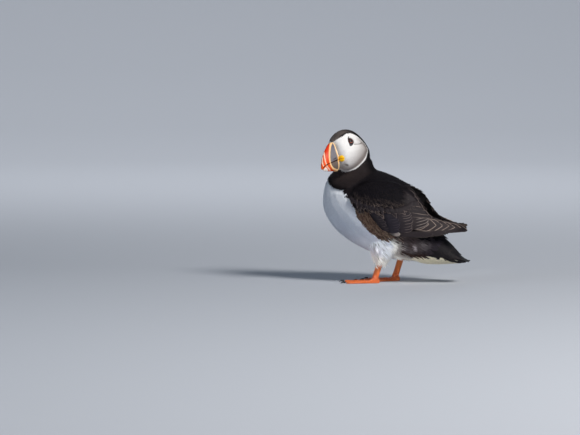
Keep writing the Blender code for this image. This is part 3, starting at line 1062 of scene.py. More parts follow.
def search_tree(bird: Bird, names: tuple[str, ...]) -> tuple[BVHTree, list[int]]:
    """Some CAD nodes made searchable.

    Args:
        bird: The bird's axes.
        names: The nodes.

    Returns:
        The search tree, and each face's node, as a place in names.
    """
    places, faces, owners = [], [], []
    for number, name in enumerate(names):
        part = merged_copy(bird, name, 0)
        more = faces_of(part)
        faces += [tuple(corner + len(places) for corner in face) for face in more]
        owners += [number] * len(more)
        places += places_of(part).tolist()
        part.free()
    return BVHTree.FromPolygons(places, faces), owners


def write_tones(mesh: bpy.types.Mesh, name: str, colours: Array) -> None:
    """Gives a mesh a colour for each corner, its alpha 1 where only three channels are given."""
    if colours.shape[1] == 3:
        colours = np.hstack([colours, np.ones((len(colours), 1))])
    layer = mesh.color_attributes.new(name=name, type="FLOAT_COLOR", domain="POINT")
    layer.data.foreach_set("color", colours.astype(np.float32).ravel())


def keep_piece(
    name: str, mesh: bpy.types.Mesh, dress: Dress, replaced: tuple[str, ...] = ()
) -> bpy.types.Object:
    """Makes a mesh a piece of the object.

    Args:
        name: The piece's name.
        mesh: Its mesh, in place and in metres.
        dress: Its finish.
        replaced: The CAD nodes that it stands for.

    Returns:
        The piece.
    """
    mesh.materials.clear()
    mesh.materials.append(dress.material)
    mesh.shade_smooth()
    piece = bpy.data.objects.new(name, mesh)
    bpy.context.scene.collection.objects.link(piece)
    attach(piece, BODY)
    if replaced:
        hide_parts(*replaced)
    triangles = sum(len(face.vertices) - 2 for face in mesh.polygons)
    LOG.info("%s: %d triangles", name, triangles)
    return piece


@dataclass
class Skin:
    """One skin over head, neck, trunk, tail, wings and thighs, under the depth of the coat."""

    bird: Bird
    markings: Markings
    voxel: float = 1.15
    grow: float = 0.45
    rounds: int = 4
    depths: tuple[float, ...] = (1, 1.7, 2.2, 0.8, 0.9, 0.9, 2, 2)  # under each flesh node
    share: float = 0.3  # of a thin part's thickness, at most
    face_depth: float = 0.8
    shade: float = 0.8  # of the coat's colour
    eye_bowl: float = 2.7  # how wide the skin is sunk under the eyelids
    bowl_rim: float = 1.2
    bowl_depth: float = 0.7  # below the ball's surface
    fold_depth: float = 0.75  # behind each eye
    surface: Surface = field(init=False)
    nodes: Array = field(init=False)
    zones: Array = field(init=False)

    def build(self, dress: Dress) -> None:
        """Makes the skin, and keeps its surface for the coat to grow on.

        Args:
            dress: The skin's finish.
        """
        parts = [merged_copy(self.bird, name, self.grow) for name in FLESH]
        made = remeshed(parts, self.voxel, self.rounds)
        bmesh.ops.recalc_face_normals(made, faces=made.faces)
        corners, faces = places_of(made), faces_of(made)
        outer = Surface(corners, faces)
        tree, owners = search_tree(self.bird, FLESH)
        self.nodes = np.array([owners[tree.find_nearest(place)[2]] for place in corners.tolist()])
        depth = np.array(self.depths)[self.nodes]
        depth[self.markings.zones(corners, self.nodes) == Zone.FACE] = self.face_depth
        edges = np.array([(edge.verts[0].index, edge.verts[1].index) for edge in made.edges])
        depth = self.evened(depth, edges, 6)
        depth = np.minimum(depth, self.share * outer.thickness())
        depth = self.evened(depth, edges, 3)
        corners = corners - outer.normals * (depth + self.grow)[:, None]
        corners = self.with_folds(corners, outer.normals)
        self.surface = Surface(corners, faces)
        self.zones = self.markings.zones(corners, self.nodes)
        for vert, place in zip(made.verts, self.bird.to_metres(corners)):
            vert.co = place
        mesh = mesh_of("skin", made)
        write_tones(mesh, "tone", self.shade * self.markings.tones(corners, self.zones))
        keep_piece("skin", mesh, dress, FLESH)

    def evened(self, values: Array, edges: Array, rounds: int) -> Array:
        """Values for each corner, averaged with their neighbours' a few times."""
        count = np.bincount(edges.ravel(), minlength=len(values)) + 1.0
        for _ in range(rounds):
            total = values.copy()
            np.add.at(total, edges[:, 0], values[edges[:, 1]])
            np.add.at(total, edges[:, 1], values[edges[:, 0]])
            values = total / count
        return values

    def with_folds(self, corners: Array, normals: Array) -> Array:
        """The skin sunk under the eyelids and folded behind each eye.

        Args:
            corners: The skin's corners.
            normals: Which way each faces.

        Returns:
            The corners moved.
        """
        head = self.bird.to_head(corners)
        near = on_skull(head)
        away, place = along_line(head[:, ::2], smooth_rows(self.markings.crease, 24))
        fold = smooth_step(1.6, 0.2, away) * smooth_step(23.5, 17, place) * near
        rim = self.eye_bowl + self.bowl_rim
        for side in SIDES.values():
            eye = Eye(self.bird, side)
            out, across = eye.polar(head)
            over = out - eye.ball_height(across) + self.bowl_depth
            bowl = (across < rim) & (out > 0) & near & (over > 0)
            sunk = np.where(bowl, over * smooth_step(rim, self.eye_bowl, across), 0)
            corners = corners - self.bird.head_turned(eye.axis)[None] * sunk[:, None]
        return corners - normals * (self.fold_depth * fold)[:, None]


# ---- eyes and bare parts


@dataclass
class Eye:
    """One eye: a glossy ball in its socket, with a red fleshy ring round it."""

    bird: Bird
    side: float  # +1 right, -1 left, along Y of the bird
    pupil: float = 1.1
    iris: float = 1.8
    bulge: float = 0.3  # of the clear dome over the iris
    opening: float = 1.7
    ring: float = 1.92
    skirt: float = 2.45
    swell: float = 0.35  # height of the ring
    aim: Row = (0.50, 0.845, 0.19)

    @property
    def centre(self) -> Array:
        """The ball's centre in the head's axes."""
        f, l, u = self.bird.axes.eye_at
        return np.array((f, -l * self.side, u))

    @property
    def axis(self) -> Array:
        """Which way the eye looks, in the head's axes."""
        f, l, u = self.aim
        return unit(np.array((f, -l * self.side, u)))

    def polar(self, head: Array) -> tuple[Array, Array]:
        """Places as how far out along the eye's axis and how far from it."""
        rel = head - self.centre
        out = rel @ self.axis
        return out, np.linalg.norm(rel - out[:, None] * self.axis, axis=1)

    def ball_height(self, across: Array) -> Array:
        """How far out the ball's surface lies, at a distance from its axis."""
        return np.sqrt(np.maximum(self.bird.axes.eye_radius**2 - across**2, 0))

    def matrix(self) -> Matrix:
        """From the eye's own axes, looking along +Z, to the row frame in metres."""
        way = Vector(self.bird.head_turned(self.axis))
        up = Vector(self.bird.head_turned((0, 0, 1)))
        right = up.cross(way).normalized()
        turn = Matrix((right, way.cross(right), way)).transposed().to_4x4()
        centre = Vector(self.bird.from_head(self.centre) + self.bird.shift)
        return Matrix.Scale(MM, 4) @ Matrix.Translation(centre) @ turn

    def build(self, ball: Dress, lid: Dress) -> None:
        """Makes the ball and the ring.

        Args:
            ball: The ball's finish.
            lid: The ring's finish.
        """
        side = side_name(self.side)
        made = bmesh.new()
        radius = self.bird.axes.eye_radius - 0.03
        bmesh.ops.create_uvsphere(made, u_segments=48, v_segments=48, radius=radius)
        across, turn, out = self.round_axis(made)
        dome = self.bulge * (1.0 - (across / 1.9) ** 2)
        out = np.where((out > 0) & (across < 1.9), out + dome, out)
        for vert, height in zip(made.verts, out):
            vert.co.z = height
        edge = smooth_step(self.pupil - 0.08, self.pupil + 0.12, across)
        iris = tint(26, 15, 14) * (0.85 + 0.15 * np.sin(23 * turn))[:, None]
        tones = mixed(tint(5, 5, 6), iris, edge)
        tones[(out < 0) | (across > self.iris + 0.15)] = tint(70, 40, 34)
        self.keep(f"eyeball_{side}", made, tones, ball, (f"eye_{side}",))
        made = self.ring_mesh()
        across, turn, _ = self.round_axis(made)
        low = across * np.sin(turn)
        # painted shade: the ring dark red above and pale pink below
        tones = painted(
            graded((88, 28, 24), (232, 120, 86), smooth_step(-0.2, -1.4, low)),
            ((58, 17, 15), smooth_step(1.84, 1.7, across)),
            ((44, 42, 46), smooth_step(2.1, 2.26, across)),
        )
        self.keep(f"eyelid_{side}", made, tones, lid, ())

    def round_axis(self, made: Made) -> tuple[Array, Array, Array]:
        """How far from the axis, at what turn and how far out each corner lies."""
        x, y, z = places_of(made).T
        return np.hypot(x, y), np.arctan2(y, x), z

    def keep(self, name: str, made: Made, tones: Array, dress: Dress, nodes: tuple) -> None:
        """Moves a mesh from the eye's own axes to its place and makes it a piece."""
        made.transform(self.matrix())
        mesh = mesh_of(name, made)
        write_tones(mesh, "tone", tones)
        keep_piece(name, mesh, dress, nodes)

    def ring_mesh(self) -> Made:
        """The fleshy ring that lies on the ball and runs down into the feathers.

        Returns:
            The mesh, in the eye's own axes.
        """
        across = np.linspace(self.opening, self.skirt, 13)
        swell = self.swell * np.exp(-(((across - self.ring) / 0.24) ** 2))
        fall = smooth_step(self.ring + 0.2, self.skirt, across)
        height = self.ball_height(across) + 0.10 + swell - fall
        inner = (self.opening - 0.08, float(self.ball_height(self.opening)) - 0.25)
        made = spun([inner, *zip(across.tolist(), height.tolist())], 64, 1e-4)
        across, turn, _ = self.round_axis(made)
        wrinkle = 0.03 * np.sin(17 * turn) + 0.02 * np.sin(29 * turn + 1)
        lift = 0.05 * np.sin(19 * turn) * smooth_step(1.8, 2.2, across)
        widen = 1.0 + wrinkle * smooth_step(1.9, 2.3, across)
        for vert, up, more in zip(made.verts, lift, widen):
            vert.co.z += up
            vert.co.x *= more
        bmesh.ops.recalc_face_normals(made, faces=made.faces)
        if sum(face.normal.z for face in made.faces) < 0:
            bmesh.ops.reverse_faces(made, faces=made.faces)
        return made


def write_toned(name: str, made: Made, bird: Bird, tones: Array) -> bpy.types.Mesh:
    """Turns a mesh in the bird's axes into one in metres that carries its colours.

    Args:
        name: The mesh's name.
        made: The mesh, which is freed.
        bird: The bird's axes.
        tones: A colour for each corner.

    Returns:
        The mesh.
    """
    made.transform(bird.from_metres().inverted())
    mesh = mesh_of(name, made)
    write_tones(mesh, "tone", tones)
    return mesh


class Mandible(Enum):
    """The bill's halves: outer edge (f, u), mouth line (f, u) and half width at each station."""

    UPPER = (
        (19.9, 4.3, 23.2, -17, 8.3), (22.8, 5.2, 25.2, -17, 8.2), (25, 5.1, 26.6, -17, 7.9),
        (30.2, 3.1, 30.6, -17.1, 7.2), (35.6, -0.2, 35, -17.3, 6.4), (40.8, -4.2, 39.5, -17.6, 5.4),
        (45.5, -9, 43.8, -18, 4.3), (49, -14, 47.3, -18.8, 3.1),
        (51.4, -18.4, 50.2, -20.3, 1.9), (52.7, -22.3, 51.7, -22.5, 0.8),
    )
    LOWER = (
        (25.2, -30.9, 23.3, -17.6, 8.2), (27.8, -30.6, 25.9, -17.6, 8),
        (29.6, -30.2, 27.5, -17.7, 7.7), (34, -29.3, 32.4, -17.8, 6.8),
        (38.4, -28.3, 37.2, -18.1, 5.7), (42.8, -27.2, 42, -18.5, 4.4),
        (46.8, -25.9, 46.4, -19.4, 2.9), (50, -24.4, 49.6, -20.8, 1.3),
    )


FRONT_RIDGE = (
    (20.5, 5.8), (24.5, 4.4), (28.8, 1.6), (32.8, -2.6), (35.3, -5.9), (37.8, -10.4), (39.4, -15),
    (39.4, -19), (38.4, -22.6), (35.5, -26), (31, -28.6), (26, -30.8),
)
REAR_RIDGE = (
    (20.4, 5.4), (21.4, 2.4), (23, -1.6), (24.2, -5.2), (24.9, -9), (25.3, -13), (26, -16.5),
    (26.8, -19.8), (26.5, -25), (26.2, -28.5), (27.4, -30.6),
)


@dataclass
class Bill:
    """The deep summer bill: cream ridges round a slate plate, and a grooved red fore part."""

    bird: Bird
    rings: int = 84
    sides: int = 64
    mouth_sides: int = 8
    front_ridge: Stroke = Stroke(FRONT_RIDGE, 2)
    rear_ridge: Stroke = Stroke(REAR_RIDGE, 2)
    behind: Outline = Outline(
        ((20, 6.5), *REAR_RIDGE[:-1], (26, -33), (14, -33), (14, 6.5))
    )
    plate: Outline = Outline(((16, 8), *FRONT_RIDGE[1:], (16, -36)))
    grooves: tuple[Stroke, ...] = (
        Stroke(
            ((39.6, -2.6), (43.2, -8.6), (45.2, -14.6), (44.9, -19.6), (42.9, -23.2), (39.6, -27)),
            1.25,
        ),
        Stroke(((44.7, -7.6), (48, -12.8), (49.4, -17.4), (49.2, -19.8)), 1),
    )
    tip_patch: Outline = Outline(((46.8, -20.6), (51, -23.6), (49, -26), (41.6, -28.2)))
    nostril: Stroke = Stroke(((28.2, -14.4), (30.6, -14.7), (33.2, -15.2)), 0.8)
    ridge_heights: Row = (0.5, 0.42)  # rear and front
    behind_depth: float = 0.8
    groove_depth: float = 0.34
    nostril_depth: float = 0.6

    def build(self, dress: Dress) -> None:
        """Makes both halves.

        Args:
            dress: The horn's finish.
        """
        for half in Mandible:
            name = f"bill_{half.name.lower()}"
            made = self.half_mesh(half)
            head = self.bird.to_head(places_of(made))
            mesh = write_toned(name, made, self.bird, self.tones(head, half))
            course = np.abs(self.plate.signed(head[:, ::2])).astype(np.float32)
            mesh.attributes.new("course", "FLOAT", "POINT").data.foreach_set("value", course)
            keep_piece(name + "_horn", mesh, dress, (name,))

    def half_mesh(self, half: Mandible) -> Made:
        """One half of the bill, its ridges raised and its grooves sunk.

        Args:
            half: Which half.

        Returns:
            The mesh, in the bird's axes.
        """
        rows = smooth_rows(half.value, self.rings)
        around = self.sides + self.mouth_sides
        made = bmesh.new()
        bmesh.ops.create_grid(made, x_segments=self.rings - 1, y_segments=around, size=1.0)
        for vert in made.verts:
            ring = round((vert.co.x + 1) / 2 * (self.rings - 1))
            vert.co = self.section(rows[ring], round((vert.co.y + 1) / 2 * around))
        close_up(made, 0.004)
        bmesh.ops.recalc_face_normals(made, faces=made.faces)
        made.normal_update()
        places = places_of(made)
        raised = self.relief(places[:, ::2], half) * smooth_step(0, 1.2, np.abs(places[:, 1]))
        for vert, height in zip(made.verts, raised):
            vert.co += vert.normal * height
        made.transform(Matrix(self.bird.head.tolist()))
        return made

    def section(self, row: Array, step: int) -> tuple[float, float, float]:
        """A point of one ring: round the outside first, then back across the mouth.

        Args:
            row: The ring's outer edge, mouth line and half width.
            step: Which point.

        Returns:
            The point in the head's axes.
        """
        edge_f, edge_u, mouth_f, mouth_u, half = row
        if step <= self.sides:
            turn = math.pi * step / self.sides
            cosine = math.cos(turn)
            out = half * math.copysign(abs(cosine) ** 1.15, cosine)
            lift = max(math.sin(turn), 0) ** 1.05
            return mouth_f + (edge_f - mouth_f) * lift, out, mouth_u + (edge_u - mouth_u) * lift
        across = (step - self.sides) / self.mouth_sides
        return mouth_f, half * (2 * across - 1), mouth_u

    def relief(self, side_view: Array, half: Mandible) -> Array:
        """How far each place stands out: ridges up, grooves and nostril down."""
        rear, front = self.ridge_heights
        found = rear * self.rear_ridge.mask(side_view, 1.2)
        found += front * self.front_ridge.mask(side_view, 1.4)
        found -= self.behind_depth * smooth_step(-0.6, -1.6, self.behind.signed(side_view))
        for groove in self.grooves:
            found -= self.groove_depth * groove.mask(side_view, 0.9)
        if half is Mandible.UPPER:
            found -= self.nostril_depth * self.nostril.mask(side_view, 0.6)
        return found

    def tones(self, head: Array, half: Mandible) -> Array:
        """The horn's colour at each place.

        Args:
            head: Places in the head's axes.
            half: Which half.

        Returns:
            Linear colours.
        """
        f, _, u = head.T
        side_view = head[:, ::2]
        upper = half is Mandible.UPPER
        found = graded((224, 52, 2), (240, 84, 5), smooth_step(36, 48, f))
        found = painted(found, ((240, 94, 8), np.full(len(f), 0.0 if upper else 0.5)))
        slate = np.broadcast_to(tint(122, 118, 124) if upper else tint(112, 99, 92), found.shape)
        slate = painted(slate, ((96, 98, 114), smooth_step(-8, 2, u)))
        found = mixed(found, slate, smooth_step(0.5, -0.5, self.plate.signed(side_view)))
        shadow = smooth_step(-12.5, -16.5, u) * smooth_step(37, 33, f) * (0.6 if upper else 0)
        gape = np.exp(-(((u + 17.2) / 4.5) ** 2)) * smooth_step(31, 25, f)
        cream = graded((255, 214, 158), (252, 178, 62), gape)
        found = painted(found, ((92, 84, 88), shadow))
        found = mixed(found, cream, self.rear_ridge.mask(side_view, 0.7))
        found = painted(found, ((255, 206, 146), self.front_ridge.mask(side_view, 0.7)))
        for groove in self.grooves:
            dark, pale = groove.mask(side_view, 0.9), groove.mask(side_view, 0.45)
            found = painted(found, ((150, 30, 8), 0.7 * dark), ((255, 212, 184), pale))
        tip = smooth_step(0.4, -0.4, self.tip_patch.signed(side_view))
        away, _ = along_line(side_view, smooth_rows(half.value, 60)[:, 2:4])
        return painted(
            found,
            ((40, 30, 34), self.nostril.mask(side_view, 0.4)) if upper else ((250, 234, 222), tip),
            ((226, 221, 218), smooth_step(-0.8, -1.3, self.behind.signed(side_view))),
            ((70, 34, 26), smooth_step(0.42, 0.1, away)),
        )


@dataclass
class GapeRosette:
    """The wrinkled yellow skin at a corner of the mouth."""

    bird: Bird
    side: float
    at: Row = (22.3, 10.6, -17)
    outward: Row = (0.87, 0.5, 0.05)
    radii: Row = (3.6, 4, 2.1)
    folds: int = 9
    crease_depth: float = 0.28

    def build(self, dress: Dress) -> None:
        """Makes the rosette.

        Args:
            dress: Its finish.
        """
        side = side_name(self.side)
        made = bmesh.new()
        bmesh.ops.create_uvsphere(made, u_segments=72, v_segments=40, radius=1.0)
        x, y, z = places_of(made).T
        turn, rim = np.arctan2(x, y), np.hypot(x, y)
        fold = 0.5 + 0.5 * np.sin(self.folds * turn + 1.4 * np.sin(2 * turn))
        grown = 1.0 + (0.16 * fold - 0.06) * rim
        crease = np.exp(-((y / 0.12) ** 2)) * np.maximum(z, 0)
        shaped = np.stack([x * grown, y * grown, z * (1.0 - self.crease_depth * crease)], 1)
        for vert, place in zip(made.verts, shaped):
            vert.co = place
        yellow = graded((255, 166, 2), (255, 214, 10), 0.35 + 0.65 * fold * rim)
        # painted shade: darker orange down the crease
        tones = painted(yellow, ((190, 92, 20), 0.6 * crease))
        f, l, u = self.at
        ahead, aside, above = self.outward
        way = Vector((ahead, -aside * self.side, above)).to_track_quat("Z", "Y")
        place = Matrix.Translation((f, -l * self.side, u)) @ way.to_matrix().to_4x4()
        place = Matrix(self.bird.head.tolist()) @ place
        made.transform(place @ Matrix.Diagonal((*self.radii, 1)))
        bmesh.ops.recalc_face_normals(made, faces=made.faces)
        mesh = write_toned("rosette", made, self.bird, tones)
        keep_piece(f"gape_{side}", mesh, dress, (f"gape_rosette_{side}",))


@dataclass
class EyePlate:
    """A bare horny pad over or under an eye, lying on the skin."""

    bird: Bird
    side: float
    node: str
    outline: Rows
    height: float = 1.25
    rings: int = 10
    turns: int = 48
    start: float = -40.0  # how far out on the head's other side the search for the skin starts

    def build(self, ground: Surface, dress: Dress) -> None:
        """Makes the pad.

        Args:
            ground: The skin's surface.
            dress: The horn's finish.
        """
        edge = smooth_rows((*self.outline, self.outline[0]), self.turns + 1)
        middle = np.array(self.outline).mean(0)
        way = self.bird.head_turned((0, self.side, 0)).tolist()
        made = bmesh.new()
        bmesh.ops.create_grid(made, x_segments=self.rings, y_segments=self.turns, size=1.0)
        for vert in made.verts:
            reach = (vert.co.x + 1) / 2
            f, u = middle + (edge[round((vert.co.y + 1) / 2 * self.turns)] - middle) * reach
            start = self.bird.from_head((f, self.start * self.side, u)).tolist()
            hit, normal, _, _ = ground.tree.ray_cast(start, way)
            vert.co = hit + normal * self.height * (1.0 - 1.6 * reach**4)
        close_up(made, 0.01)
        smooth(made, 2)
        bmesh.ops.recalc_face_normals(made, faces=made.faces)
        made.transform(self.bird.from_metres().inverted())
        name = f"{self.node}_{side_name(self.side)}"
        keep_piece(name + "_horn", mesh_of(name, made), dress, (name,))


@dataclass
class Leg:
    """A bare leg and webbed foot under one scaly skin, with its claws."""

    bird: Bird
    side: str
    ankle: Row
    heading: float
    voxel: float = 0.55
    grow: float = 0.3
    toes: tuple[float, ...] = (-27, -2, 23)
    heel: float = 8.5
    ring_gap: float = 1.9  # between the scales across each toe
    ring_height: float = 0.16
    claw_grow: float = 0.12
    least_height: float = 0.02

    def build(self, hide: Dress, claw: Dress) -> None:
        """Makes the leg's skin and the three claws.

        Args:
            hide: The scaly skin's finish.
            claw: The claws' finish.
        """
        names = (f"tarsus_{self.side}", f"foot_{self.side}")
        made = remeshed([merged_copy(self.bird, name, self.grow) for name in names], self.voxel, 4)
        made.normal_update()
        places = places_of(made)
        toe, along, web = self.toe_field(places)
        rings = self.ring_height * np.sin(FULL_TURN * along / self.ring_gap)
        for vert, move in zip(made.verts, rings * toe * smooth_step(1, 2, places[:, 2])):
            vert.co += vert.normal * (move - 0.26)
            vert.co.z = max(vert.co.z, self.least_height)
        mesh = write_toned("leg", made, self.bird, self.tones(places, web))
        keep_piece(f"leg_{self.side}", mesh, hide, names)
        for toe_name in ("inner", "middle", "outer"):
            self.build_claw(f"claw_{self.side}_{toe_name}", claw)

    def build_claw(self, node: str, dress: Dress) -> None:
        """Makes a claw from its CAD node's shape, joined and rounded."""
        made = merged_copy(self.bird, node, self.claw_grow)
        made.transform(self.bird.from_metres().inverted())
        joined = {"verts": made.verts, "edges": made.edges}
        bmesh.ops.dissolve_limit(made, angle_limit=math.radians(4), **joined)
        bmesh.ops.recalc_face_normals(made, faces=made.faces)
        piece = keep_piece(node + "_horn", mesh_of(node, made), dress, (node,))
        finer = piece.modifiers.new("rounding", "SUBSURF")
        finer.levels = finer.render_levels = 2

    def toe_field(self, places: Array) -> tuple[Array, Array, Array]:
        """Where the toes run.

        Args:
            places: Places on the foot.

        Returns:
            How near each place lies to a toe's ridge, how far along it, and how far out on the web.
        """
        side = SIDES[self.side]
        x, y = places[:, 0] - self.ankle[0], places[:, 1] - self.ankle[1] * side
        turn = math.radians(180.0 - self.heading * side)
        ahead = x * math.cos(turn) + y * math.sin(turn) + self.heel
        aside = (-x * math.sin(turn) + y * math.cos(turn)) * -side
        radius, angle = np.hypot(ahead, aside), np.degrees(np.arctan2(aside, ahead))
        off = [np.abs(radius * np.sin(np.radians(angle - toe))) for toe in self.toes]
        nearest = np.min(off, axis=0)
        toe = smooth_step(2.4, 1.2, nearest) * smooth_step(12, 17, radius)
        return toe, radius, smooth_step(2, 4, nearest) * smooth_step(12, 20, radius)

    def tones(self, places: Array, web: Array) -> Array:
        """The leg's colour: orange, redder on the webs and darker at the joints."""
        x, _, z = places.T
        near = smooth_step(12, 8, np.abs(x - self.ankle[0]))
        joint = near * np.exp(-(((z - 6.5) / 2.6) ** 2))
        return painted(
            graded((232, 112, 48), (240, 132, 62), smooth_step(8, 22, z)),
            ((206, 70, 34), 0.75 * web),
            ((196, 84, 40), 0.6 * joint),
        )


# ---- the coat


@dataclass(frozen=True)
class Lie:
    """Which way the feathers lie: back over the head, down the neck, then along the body."""

    bird: Bird
    back: Rows = (
        (-37, 164), (-31, 156.5), (-29, 149), (-24, 144), (-10, 138.5), (5, 131),
        (16, 124), (25.5, 112.5), (34, 98.5), (41.5, 83.5), (50, 71.5), (58, 61.5),
        (73, 46), (88.5, 31), (98, 26),
    )
    belly: Rows = (
        (-72, 150), (-79, 141.5), (-87, 132), (-92.5, 118), (-94.5, 103),
        (-92.5, 89.5), (-85, 75), (-73, 61.5), (-58, 50.5), (-41, 41.5), (-22, 34.5),
        (-2, 30.5), (18, 27.5), (54, 24), (98, 26),
    )
    shoulder: Row = (-22, 98)
    shoulder_way: Row = (0.66, 0, -0.75)
    thigh_way: Row = (0.34, 0, -0.94)
    skull: Row = (0, 0, -12)

    def at(self, places: Array) -> Array:
        """The lie at each place.

        Args:
            places: Places on the skin.

        Returns:
            Directions, not yet laid along the surface.
        """
        x, _, z = places.T
        found = np.zeros_like(places)
        for points in (self.back, self.belly):
            line = smooth_rows(points, 90)
            away, place = along_line(places[:, ::2], line)
            step = unit(np.gradient(line, axis=0))[np.round(place).astype(int)]
            found[:, ::2] += step / (away + 5)[:, None]
        head = self.bird.to_head(places)
        f, _, u = head.T
        fall = 80.0 * smooth_step(4, -26, f) + 45.0 * smooth_step(-14, -38, u)
        fall = np.minimum(np.radians(fall), math.pi / 2)
        over = self.bird.head_turned(np.stack([-np.cos(fall), 0.0 * f, -np.sin(fall)], 1))
        off_shoulder = np.hypot(x - self.shoulder[0], z - self.shoulder[1])
        off_skull = np.linalg.norm(head - self.skull, axis=1)
        low = smooth_step(66, 50, z)
        blends = [
            (self.shoulder_way, 0.7 * smooth_step(34, 18, off_shoulder)),
            (over, smooth_step(44, 27, off_skull)),
        ]
        for line in THIGHS:
            away, _ = along_line(places, np.array(line))
            blends.append((self.thigh_way, smooth_step(24, 12, away) * low))
        found = unit(found)
        for way, weight in blends:
            found = unit(mixed(found, np.array(way), weight))
        return found


def laid(ways: Array, normals: Array) -> Array:
    """Directions laid along a surface."""
    return unit(ways - (ways * normals).sum(-1, keepdims=True) * normals)


@dataclass
class Feathers:
    """A sheaf of feathers, each a grid of points from root to tip and from edge to edge."""

    places: Array  # feather, row, column, axis
    tones: Array  # feather, row, column, colour; alpha is how near the rim lies
    rims: Array  # feather, colour; alpha is how worn the rim is
    lay: Array  # feather, row, column, millimetres across and along
    homes: Array  # feather, place of the root on the unwrap
    facing: Array  # feather, row, column, normal


def grid_normals(places: Array) -> Array:
    """The normals of each feather's own grid."""
    return unit(np.cross(np.gradient(places, axis=2), np.gradient(places, axis=1)))


@dataclass
class Coat:
    """Writes sheaves of feathers as pieces."""

    bird: Bird
    spine: Rows = (
        (-93, -56, 160), (-72, -26, 172), (-64, -10, 156), (-58, -2, 136),
        (-45, 0, 110), (-20, 0, 88), (20, 0, 62), (50, 0, 42),
        (98, 0, 27),
    )

    def homes(self, roots: Array) -> Array:
        """Where roots lie on the skin unwrapped round the spine, from 0 to 1 each way.

        Args:
            roots: Places on the skin.

        Returns:
            Their places on the unwrap.
        """
        line = smooth_rows(self.spine, 60)
        _, place = along_line(roots, line)
        index = np.minimum(place.astype(int), len(line) - 2)
        step = line[index + 1] - line[index]
        rel = roots - line[index] - (place - index)[:, None] * step
        up = unit(np.cross(unit(step), (0, 1, 0)))
        turn = np.arctan2(rel[:, 1], (rel * up).sum(1)) / FULL_TURN + 0.5
        return 0.01 + 0.98 * np.stack([turn, place / (len(line) - 1)], 1)

    def write(self, name: str, sheaves: list[Feathers], dress: Dress) -> None:
        """Joins sheaves into one piece.

        Args:
            name: The piece's name.
            sheaves: The sheaves.
            dress: Their finish.
        """
        columns: dict[str, list[Array]] = {}
        start = 0
        for sheaf in sheaves:
            count, rows, wide, _ = sheaf.places.shape
            size = rows * wide
            corner = np.arange(size).reshape(rows, wide)
            ring = (corner[:-1, :-1], corner[:-1, 1:], corner[1:, 1:], corner[1:, :-1])
            firsts = start + size * np.arange(count)[:, None, None]
            patch = np.meshgrid(np.linspace(-0.5, 0.5, wide), np.linspace(-0.5, 0.5, rows))
            start += size * count
            for label, width, values in (
                ("corners", 3, self.bird.to_metres(sheaf.places)),
                ("faces", 4, np.stack(ring, -1).reshape(-1, 4)[None] + firsts),
                ("tone", 4, sheaf.tones),
                ("rim_tone", 4, np.repeat(sheaf.rims, size, axis=0)),
                ("lay", 2, sheaf.lay),
                (BAKE_MAP, 2, sheaf.homes[:, None, None] + BAKE_PATCH * np.stack(patch, -1)[None]),
                ("facing", 3, sheaf.facing),
            ):
                columns.setdefault(label, []).append(values.reshape(-1, width))
        joined = {label: np.vstack(parts) for label, parts in columns.items()}
        mesh = bpy.data.meshes.new(name)
        mesh.from_pydata(joined["corners"], [], joined["faces"])
        mesh.update()
        for label in (BAKE_MAP, "lay"):
            flat = joined[label][joined["faces"].ravel()].astype(np.float32).ravel()
            mesh.uv_layers.new(name=label).data.foreach_set("uv", flat)
        for label in ("tone", "rim_tone"):
            write_tones(mesh, label, joined[label])
        keep_piece(name, mesh, dress)
        mesh.normals_split_custom_set_from_vertices(joined["facing"].astype(np.float32))


@dataclass
class Ground:
    """What the feathers grow from, and what they leave bare."""

    skin: Skin
    lie: Lie
    coat: Coat
    bare: "BareParts"
    dresses: dict[str, Dress]


def outline_of(t: Array, taper: Array | float, point: float = 0) -> Array:
    """A feather's half width along its length, as a part of its greatest.

    Args:
        t: How far along, 0 to 1.
        taper: How much of the length its tip takes.
        point: How pointed the tip is, from 0 for round to 1.

    Returns:
        The half widths.
    """
    root = 0.42 + 0.58 * smooth_step(0, 0.42, t)
    u = np.clip((t - 1.0 + taper) / taper, 0, 1)
    round_tip = np.sqrt(np.maximum(1.0 - u**2.2, 0.012))
    return root * ((1.0 - point) * round_tip + point * (1.02 - u**1.15))


def edge_of(t: Array, a: Array, half: Array, length: Array) -> Array:
    """How far places on feathers lie inside their edges, in millimetres.

    Args:
        t: How far along each row lies, 0 to 1.
        a: How far across each column lies, -1 to 1.
        half: The half width of each feather's rows.
        length: Each feather's length.

    Returns:
        The distances, for each feather, row and column.
    """
    slope = np.gradient(half, t, axis=1) / length[:, None]
    aside = (1.0 - np.abs(a)) * (half / np.hypot(1, slope))[..., None]
    return np.minimum(aside, ((1.0 - t) * length[:, None])[..., None])


def rims_of(rim: Row, wear: Array) -> Array:
    """Each feather's rim colour, with how worn it is as alpha."""
    shown = np.broadcast_to(tint(*rim), (len(wear), 3))
    return np.hstack([shown, np.minimum(wear, 1)[:, None]])


def lay_of(t: Array, a: Array, half: Array, length: Array, start: Array) -> Array:
    """Each feather's own map in millimetres, for its barbs.

    Args:
        t: How far along each row lies, 0 to 1.
        a: How far across each column lies, -1 to 1.
        half: The half width of each feather's rows.
        length: Each feather's length.
        start: Where each feather's map starts.

    Returns:
        Places across and along, for each feather, row and column.
    """
    along = length[:, None, None] * t[None, :, None] + start
    return np.stack(np.broadcast_arrays(LAY_MIDDLE + half[..., None] * a, along), -1)


@dataclass
class Shafts:
    """Feather shafts walked along the skin, each a row of points from root to tip."""

    centre: Array
    facing: Array
    heading: Array
    size: Array
    zones: Array

    def kept(self, keep: Array) -> "Shafts":
        """Only the shafts that keep says."""
        return Shafts(*(getattr(self, one.name)[keep] for one in fields(self)))


